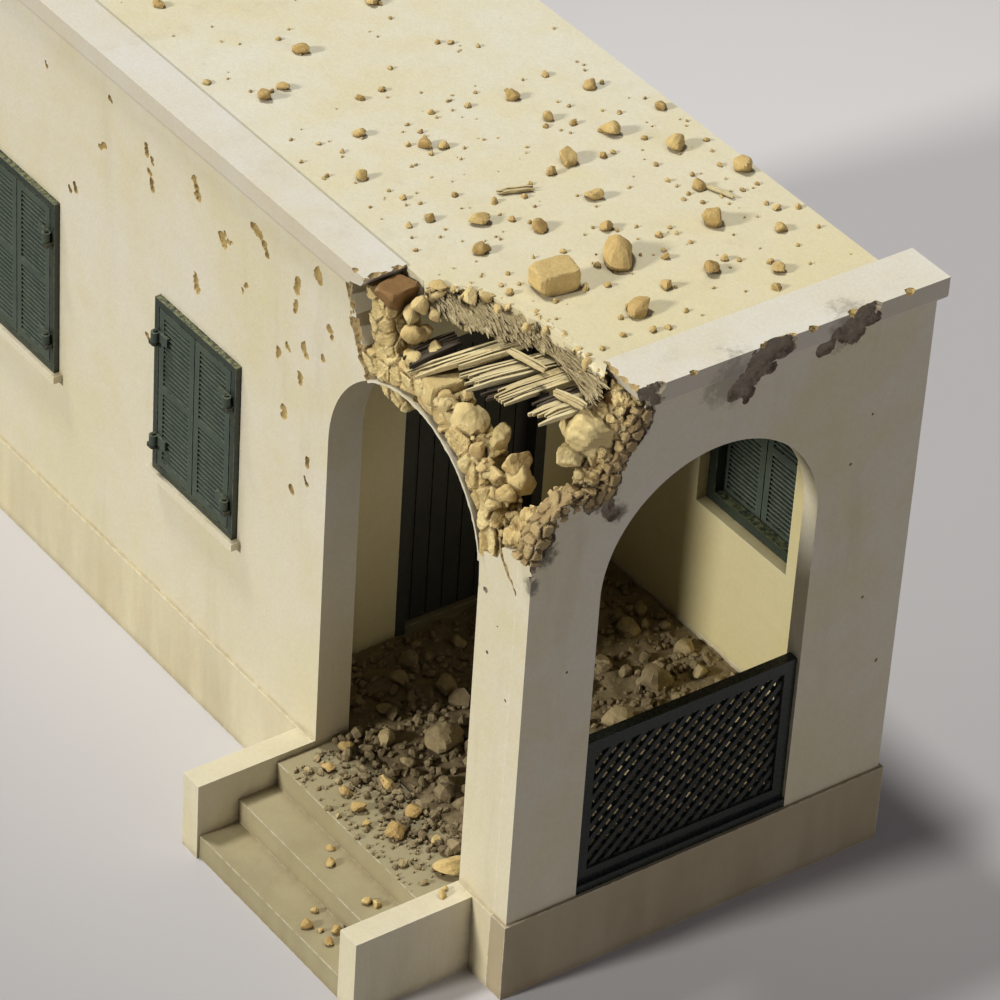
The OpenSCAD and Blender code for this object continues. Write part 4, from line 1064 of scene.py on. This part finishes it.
rimSet = {
    # the roof plaster's broken edge and the fibres' inner edge, from the wall round to the end
    "crust": [(-35.9, -61.0), (-34.4, -61.5), (-32.3, -62.5), (-28.9, -66.0), (-26.9, -70.0),
              (-25.8, -75.2), (-24.6, -79.6), (-24.3, -84.3), (-24.5, -89.9), (-25.3, -94.5),
              (-25.4, -97.8)],
    "fibres": [(-36.6, -63.4), (-34.4, -65.2), (-33.1, -69.0), (-31.2, -72.4), (-29.4, -75.4),
               (-27.6, -77.6), (-26.0, -80.6), (-25.4, -85.0), (-26.2, -90.2), (-27.2, -94.2),
               (-28.2, -98.0)],
    "crustTop": 126.34, "crustThick": 1.1, "bedTop": 125.1, "bedFoot": 122.3, "bedThick": 1.5,
}


def splitLaths():
    parts = [bundle(*board, 90 + 3 * index) for index, board in enumerate(lathSet["boards"])]
    makePiece("brokenBoards", parts, lathWood, ["split_laths"])
    cross = [bundle(*piece, 120 + 3 * index, 0.05) for index, piece in enumerate(lathSet["cross"])]
    makePiece("crossLaths", cross, lathWood)
    charred = [bundle(*lathSet["stub"], 111)]
    charred += [bundle(*piece, 114 + 3 * index, 0.12) for index,
                piece in enumerate(lathSet["under"])]
    makePiece("charredBoards", charred, charredWood)


def ceilingBoards():
    # boards nailed under the roof: whole ones behind the hole, sawn-off ones beside it
    low, high = span("ceiling_boards")
    pitch, wide, thick = 6.6, 5.0, 1.6
    parts = []
    for index in range(11):
        y = low[1] + index * pitch + wide / 2
        reach = np.clip(1 - ((y - building["frontY"]) / hole["reachY"]) ** hole["roundness"], 0, 1)
        start = building["outerX"] + hole["reachX"] * reach ** (1 / hole["roundness"]) + 0.5
        start = max(start, building["innerX"])
        z = building["wallTop"] - thick / 2
        parts.append(bundle((start, y, z), (building["rightX"], y, z), wide, thick, 6, 130 + index,
                            0.006))
    makePiece("porchCeiling", parts, boardWood, ["ceiling_boards"])


def deckRim():
    count, columns = 180, 22
    angles = np.linspace(73, 5, 260)
    rim = evenly(np.stack(holeRim(angles, 1.3), -1), count)
    crust, inner = evenly(rimSet["crust"], count), evenly(rimSet["fibres"], count)
    along = np.linspace(0, 1, count)
    wave = np.stack([along * 60, 0 * along, 0 * along], -1)
    inward = inner - crust
    inward /= np.linalg.norm(inward, axis=1)[:, None]
    # roof plaster over the broken edge: a thin slab from the sound roof to a ragged line
    fray = 0.5 * ripple(wave, 7, 145, 4) + 0.2 * ripple(wave, 1.6, 146, 2)
    ragged = crust + inward * fray[:, None]
    share = np.linspace(0, 1, 12)[None, :, None]
    flat = rim[:, None] * (1 - share) + ragged[:, None] * share
    top = np.concatenate([flat, np.full((count, 12, 1), rimSet["crustTop"])], -1)
    top[..., 2] -= 0.35 * share[..., 0] ** 4
    bottom = top.copy()
    bottom[..., 2] -= rimSet["crustThick"] + 0.25 * ripple(bottom, 2.5, 147, 2)
    points, faces = slab(top, bottom)
    makePiece("roofCrust", [(points, [part[:, ::-1] for part in faces], 0.5)], plasterRoof)
    # bed of fibres: slopes from under the crust down to the inner line, rippled along its length
    share = np.linspace(-0.35, 1, columns)[None, :, None]
    frayed = inner + inward * (0.7 * ripple(wave, 5, 148, 4))[:, None]
    flat = crust[:, None] * (1 - share) + frayed[:, None] * share
    drop = np.clip(share[..., 0], 0, 1) ** 1.3
    height = rimSet["bedTop"] + (rimSet["bedFoot"] - rimSet["bedTop"]) * drop + 0 * flat[..., 0]
    top = np.concatenate([flat, height[..., None]], -1)
    squeezed = top * np.array([1.0, 0.16, 1.0])
    top[..., 2] += 0.34 * ripple(squeezed, 1.5, 149, 3) + 0.25 * ripple(top, 5, 150, 2)
    bottom = top.copy()
    bottom[..., 2] -= rimSet["bedThick"] * (1 - 0.55 * np.clip(share[..., 0], 0, 1))
    points, faces = slab(top, bottom)
    makePiece("fibreBed", [(points, [part[:, ::-1] for part in faces], 0.35)], fibreWood)
    # slivers lie on the bed and over its edge, pointing along the house to the end wall
    rng = np.random.default_rng(142)
    slivers = 900
    at = rng.uniform(0.03, 0.99, slivers)
    lie = rng.uniform(0, 1, slivers) ** 0.6
    row = at * (count - 1)
    outside = np.stack([np.interp(row, np.arange(count), crust[:, k]) for k in range(2)], -1)
    inside = np.stack([np.interp(row, np.arange(count), inner[:, k]) for k in range(2)], -1)
    place = outside + (inside - outside) * (lie * 1.02)[:, None]
    bedDrop = rimSet["bedTop"] - rimSet["bedFoot"]
    z = rimSet["bedTop"] - bedDrop * lie ** 1.3 + rng.uniform(0.0, 0.5, slivers)
    length = rng.uniform(1.6, 4.6, slivers) * (0.75 + 0.5 * at)
    heading = np.stack([rng.normal(-0.10, 0.16, slivers), -np.ones(slivers),
                        -0.26 - 0.20 * lie + rng.normal(0, 0.07, slivers)], -1)
    heading[:, 2] *= 1 - 0.75 * at
    centre = np.column_stack([place, z])
    half = heading / np.linalg.norm(heading, axis=1)[:, None] * length[:, None] / 2
    straw = splinters(centre - half, centre + half, rng.uniform(0.22, 0.55, slivers),
                      rng.uniform(0.16, 0.38, slivers), 143, rows=4, wander=0.05)
    makePiece("rimSlivers", [straw], fibreWood)
    near = rng.uniform(0.0, 1.0, 70)
    spots = np.stack([np.interp(near, along, crust[:, k]) for k in range(2)], -1)
    spots += rng.normal(0, 0.9, spots.shape)
    crumbs = stones(np.column_stack([spots, np.full(70, 126.0)]),
                    (rng.gamma(2.0, 0.13, 70) + 0.15)[:, None] * rng.uniform(0.7, 1.2, (70, 3)),
                    144, tilt=0.4,
                    rings=7, spokes=11, cuts=10, crisp=10)
    sitting = stones([(-30.4, -66.2, 125.3), (-27.9, -71.0, 124.6), (-33.6, -61.2, 126.3)],
                     [(1.6, 1.3, 1.2), (1.2, 1.0, 0.7), (1.5, 1.2, 0.8)], 155, tilt=0.3, rings=14,
                     spokes=20, cuts=13, crisp=10)
    makePiece("rimCrumbs", [crumbs, sitting], masonry)


splitLaths()
ceilingBoards()
deckRim()
print("boards and rim built")


# ---- loose stones, gravel and dust ----

roofSet = {
    # distance across in hundredths of the width, distance from the end wall, size
    "stones": [
        (19, 108, 3), (24.5, 109, 2.2), (28, 89, 2.2), (37.5, 80, 2.6), (40.5, 78, 2.2),
        (19, 77, 2.2),
        (22.5, 60, 2.2), (30.5, 55, 3.7), (40, 48, 3.3), (24.5, 47, 3), (64.5, 85, 2.6),
        (66, 76, 2.2),
        (81, 81, 2.6), (74, 67, 3.3), (60, 63, 4.4), (56.5, 51, 3.3), (82.5, 57, 3.7),
        (89.5, 69, 2.6),
        (89.5, 45, 3.7), (72, 34, 4.4), (61, 22, 3.3), (49.5, 22, 2.6), (47, 33, 7), (39, 18, 4.8),
        (73, 16, 3), (82.5, 26, 2.4), (52, 42, 2.4), (77.5, 44, 2.6), (35.5, 118, 2.8),
        (61, 126, 3.2),
        (77.5, 138, 2.6), (28, 146, 3.4), (52, 158, 2.4), (70.5, 172, 3.6), (35.5, 182, 2.6)],
    "chips": 290,
}
porchSet = {
    "stones": [
        (23.5, 49, 8), (13.5, 47, 3), (14, 55, 4.4), (16.5, 38, 3.3), (15.5, 32, 3.2),
        (82.5, 58, 4.4),
        (76.5, 42, 6.4), (60, 36, 6), (89.5, 48, 4.2), (87, 40, 3.4), (84.5, 33, 3),
        (89.5, 62, 3.4),
        (70.5, 52, 4), (52, 46, 4.6), (42.5, 56, 4), (35.5, 62, 5), (28, 68, 3.6), (54, 64, 3.4),
        (66, 66, 3.8), (44.5, 36, 5), (35.5, 42, 3.6), (33, 28, 4.4), (52, 24, 4.6), (66, 22, 5),
        (77.5, 20, 3.6), (42.5, 16, 3.8), (59, 12, 3.4), (73, 10, 3), (28, 18, 3.6), (19, 24, 3.2),
        (26, 34, 2.8), (61, 48, 3), (77.5, 70, 3), (47, 72, 3.2), (19, 62, 3), (84.5, 24, 3.4)],
    "gravel": 2400,
}
stepSet = {
    "stones": [(-2, 54, 2.6), (-3.5, 46.5, 2.6), (-4, 41.5, 2.8), (-2, 32, 4.4), (1, 18.6, 5.6),
               (5, 57, 3), (5.5, 44, 3), (5, 35, 3.2), (4, 26, 2.4), (-5.5, 37, 1.8)],
}


def fromList(entries, z, seed, **shape):
    # the listed stones as broken lumps standing on height z
    entries = np.array(entries, float)
    fullWidth = span("front_wall")[1][0] - building["outerX"]
    size = entries[:, 2]
    rng = np.random.default_rng(seed)
    halves = size[:, None] * rng.uniform((0.46, 0.38, 0.30), (0.54, 0.46, 0.42), (len(size), 3))
    centres = np.stack([building["outerX"] + fullWidth * entries[:, 0] / 100,
                        building["frontY"] + entries[:, 1], z + halves[:, 2] * 0.72], -1)
    return stones(centres, halves, seed + 1, **shape)


def roofRubble():
    top = building["deckTop"]
    lumps = fromList(roofSet["stones"], top, 151, tilt=0.2, rings=12, spokes=18, cuts=13, crisp=13,
                     rough=0.06)
    block = stones([(-16.7, -71.9, top + 2.1)], [(4.5, 3.1, 2.6)], 153, rings=30, spokes=44,
                   cuts=12,
                   crisp=34, rough=0.012, boxy=True,
                   turns=spun(-8))
    stick = bundle((-8.5, -43.4, top + 0.5), (-2.4, -45.4, top + 0.5), 1.3, 0.7, 4, 154, 0.06)
    makePiece("roofStones", [lumps, block], looseStone, ["roof_rubble"])
    more = [bundle((24.0, -58.5, top + 0.4), (26.6, -66.0, top + 0.5), 0.9, 0.5, 3, 155, 0.1),
            stick]
    makePiece("roofSplinters", more, lathWood)
    rng = np.random.default_rng(156)
    count = roofSet["chips"]
    x = rng.uniform(building["innerX"] + 2, building["rightX"] - 3, count)
    y = building["frontY"] + 10 + rng.gamma(2.0, 30, count)
    inside = ((x - building["outerX"]) / (hole["reachX"] + 1)) ** hole["roundness"] \
        + ((y - building["frontY"]) / (hole["reachY"] + 1)) ** hole["roundness"] < 1
    keep = ~inside & (y < 90)
    x, y = x[keep], y[keep]
    size = rng.gamma(2.0, 0.16, len(x)) + 0.12
    chips = stones(np.stack([x, y, top + size * 0.3], -1),
                   size[:, None] * rng.uniform(0.6, 1.1, (len(x), 3)),
                   157, tilt=0.4, rings=3, spokes=7, cuts=9, crisp=12)
    makePiece("roofChips", [chips], looseStone)


def porchRubble():
    floor = building["floorZ"]
    lumps = fromList(porchSet["stones"], floor + 0.3, 161, tilt=0.25, rings=11, spokes=16, cuts=13,
                     crisp=13,
                     rough=0.06)
    makePiece("porchStones", [lumps], porchStone, ["porch_rubble"])
    # dust sheet: low waves over the floor, thin at the walls
    across = np.linspace(building["innerX"] + 0.1, building["rightX"] - 0.1, 110)
    along = np.linspace(building["innerY"] + 0.1, building["porchEndY"] - 0.1, 110)
    x, y = np.meshgrid(across, along, indexing="ij")
    flat = np.stack([x, y, 0 * x], -1)
    high = 0.45 + 0.35 * ripple(flat, 9, 162, 4) + 0.12 * ripple(flat, 1.6, 163, 2)
    sheet = np.stack([x, y, floor + np.clip(high, 0.05, 2)], -1)
    rows, columns = x.shape
    edge = np.concatenate([np.arange(columns), np.arange(1, rows) * columns + columns - 1,
                           (rows - 1) * columns + np.arange(columns - 2, -1, -1),
                           np.arange(rows - 2, 0, -1) * columns])
    flatSheet = sheet.reshape(-1, 3)
    skirt = flatSheet[edge].copy()
    skirt[:, 2] = floor
    count, total = len(edge), len(flatSheet)
    after = np.roll(np.arange(count), -1)
    sides = np.stack([edge, edge[after], total + after, total + np.arange(count)], -1)
    below = (total + np.arange(count))[None, ::-1]
    makePiece("porchDust", [(np.concatenate([flatSheet, skirt]),
                             [gridFaces(rows, columns), sides[:, ::-1], below], 0.6)],
              gravel, smooth=True)
    rng = np.random.default_rng(164)
    count = porchSet["gravel"]
    x = rng.uniform(building["innerX"] - 7, building["rightX"] - 1, count)
    y = rng.uniform(building["innerY"] + 1.5, building["porchEndY"] - 1, count)
    onLanding = x < building["innerX"] + 0.5
    y = np.where(onLanding, rng.uniform(archLow[1] + 6, archHigh[1] - 1, count), y)
    x = np.where(onLanding, building["innerX"] - 7.4 * rng.uniform(0, 1, count) ** 1.5, x)
    size = rng.gamma(2.2, 0.20, count) + 0.18
    grit = stones(np.stack([x, y, floor + 0.15 + size * 0.5], -1),
                  size[:, None] * rng.uniform(0.6, 1.15, (count, 3)), 165, tilt=0.6, rings=3,
                  spokes=7,
                  cuts=9, crisp=12)
    makePiece("porchGravel", [grit], gravel)


def stepRubble():
    floor, riser = building["floorZ"], building["floorZ"] / 3
    lumps = fromList(stepSet["stones"], floor, 171, tilt=0.3, rings=12, spokes=18, cuts=13,
                     crisp=12,
                     rough=0.07)
    rng = np.random.default_rng(172)
    treads = [(span("middle_step")[0][0] + 4.4, 2 * riser, [40, 24, 36.5, 22.6]),
              (span("lower_step")[0][0] + 4.4, riser, [32, 27, 23.6, 29.4, 25.2])]
    spots, sizes = [(-47.6, -91.6, 17.4), (-46.2, -90.4, 17.3)], [0.75, 0.55]
    for x, z, rows in treads:
        for y in rows:
            size = rng.uniform(0.6, 1.2)
            spots.append((x + rng.uniform(-2.2, 2.4), building["frontY"] + y, z + size * 0.5))
            sizes.append(size)
    sizes = np.array(sizes)[:, None] * rng.uniform(0.7, 1.15, (len(sizes), 3))
    few = stones(spots, sizes, 173, tilt=0.5, rings=8, spokes=12, cuts=11, crisp=12)
    makePiece("stepStones", [lumps, few], looseStone, ["step_rubble"])
    count = 170
    x = building["outerX"] - 8.3 * rng.uniform(0, 1, count) ** 1.3
    y = rng.uniform(archLow[1] + 3, archHigh[1] - 1.5, count)
    size = rng.gamma(2.0, 0.14, count) + 0.12
    crumbs = stones(np.stack([x, y, floor + size * 0.4], -1),
                    size[:, None] * rng.uniform(0.6, 1.1, (count, 3)),
                    174, tilt=0.5, rings=3, spokes=7, cuts=9, crisp=12)
    makePiece("stepCrumbs", [crumbs], porchStone)


def cornerBrick():
    low, high = span("loose_brick")
    block = stones([(low + high) / 2], [(3.75, 2.6, 2.2)], 181, turns=spun(12), rings=30, spokes=44,
                   cuts=12,
                   crisp=30, rough=0.015, boxy=True)
    makePiece("looseBrick", [block], brick, ["loose_brick"])


roofRubble()
porchRubble()
stepRubble()
cornerBrick()
print("rubble scattered")


# ---- sheets inside the louvred leaves ----

leafSet = {
    # middle of a leaf in front of the wall's face, half the sheet's thickness, and how far
    # it stays inside the leaf at the sides and at the top and bottom
    "middle": 0.65, "half": 0.12, "sides": 1.25, "ends": 0.6,
}


def leafBacking():
    # a thin sheet let into the stiles of each louvred leaf, so no light shows between slats
    inset = np.array([0, leafSet["sides"], leafSet["ends"]])
    box = np.array([[0, 1, 3, 2], [4, 6, 7, 5], [0, 4, 5, 1], [2, 3, 7, 6], [0, 2, 6, 4],
                    [1, 5, 7, 3]])
    faces = {"front": building["outerX"] - leafSet["middle"],
             "rear": building["outerX"] - leafSet["middle"],
             "porch": span("right_wall")[1][0] + leafSet["middle"]}
    for window, middle in faces.items():
        for side in ("left", "right"):
            leaf = f"{window}_window_leaf_{side}"
            low, high = span(leaf)
            low, high = low + inset, high - inset
            corners = np.array([[middle + x * leafSet["half"], y, z] for x in (-1, 1)
                                for y in (low[1], high[1]) for z in (low[2], high[2])])
            makePiece(f"{window}Backing{side.capitalize()}", [(corners, [box], 0.5)], leafPaint,
                      body=leaf)


leafBacking()
print("shutters backed")


# ---- finishes of the CAD pieces that stay ----

def finishFor(node):
    if node in ("lower_step", "middle_step", "landing", "porch_floor", "room_floor"):
        return stepStone
    if node == "base_board":
        return greyBoard
    # the front plinth gets the darkened plaster, painted shade
    if node == "plinth_front":
        return plasterPlinthShade
    if node.startswith("plinth"):
        return plasterPlinth
    if node == "roof_deck":
        return plasterRoof
    if "coping" in node:
        return plasterCoping
    if node in ("right_wall", "porch_wall"):
        return plasterInner
    if node.startswith("door_leaf") or node == "door_frame":
        return doorPaint
    if "pintles" in node:
        return ironPaint
    if node in ("rail_frame", "threshold") or node.startswith("lattice"):
        return railPaint
    if "window_frame" in node:
        return framePaint
    if "window_leaf" in node:
        return leafPaint
    return plasterWall


def dressNodes():
    for name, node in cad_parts.items():
        node.data.materials.clear()
        node.data.materials.append(finishFor(name))


dressNodes()


def makeGround():
    half = floorSet["halfWidth"]
    mesh = bpy.data.meshes.new("ground")
    mesh.from_pydata([(-half, -half, 0), (half, -half, 0), (half, half, 0), (-half, half, 0)], [],
                     [(0, 1, 2, 3)])
    mesh.materials.append(makeFloor())
    ground = bpy.data.objects.new("ground", mesh)
    scene.collection.objects.link(ground)


makeGround()
print("finishes and ground done")
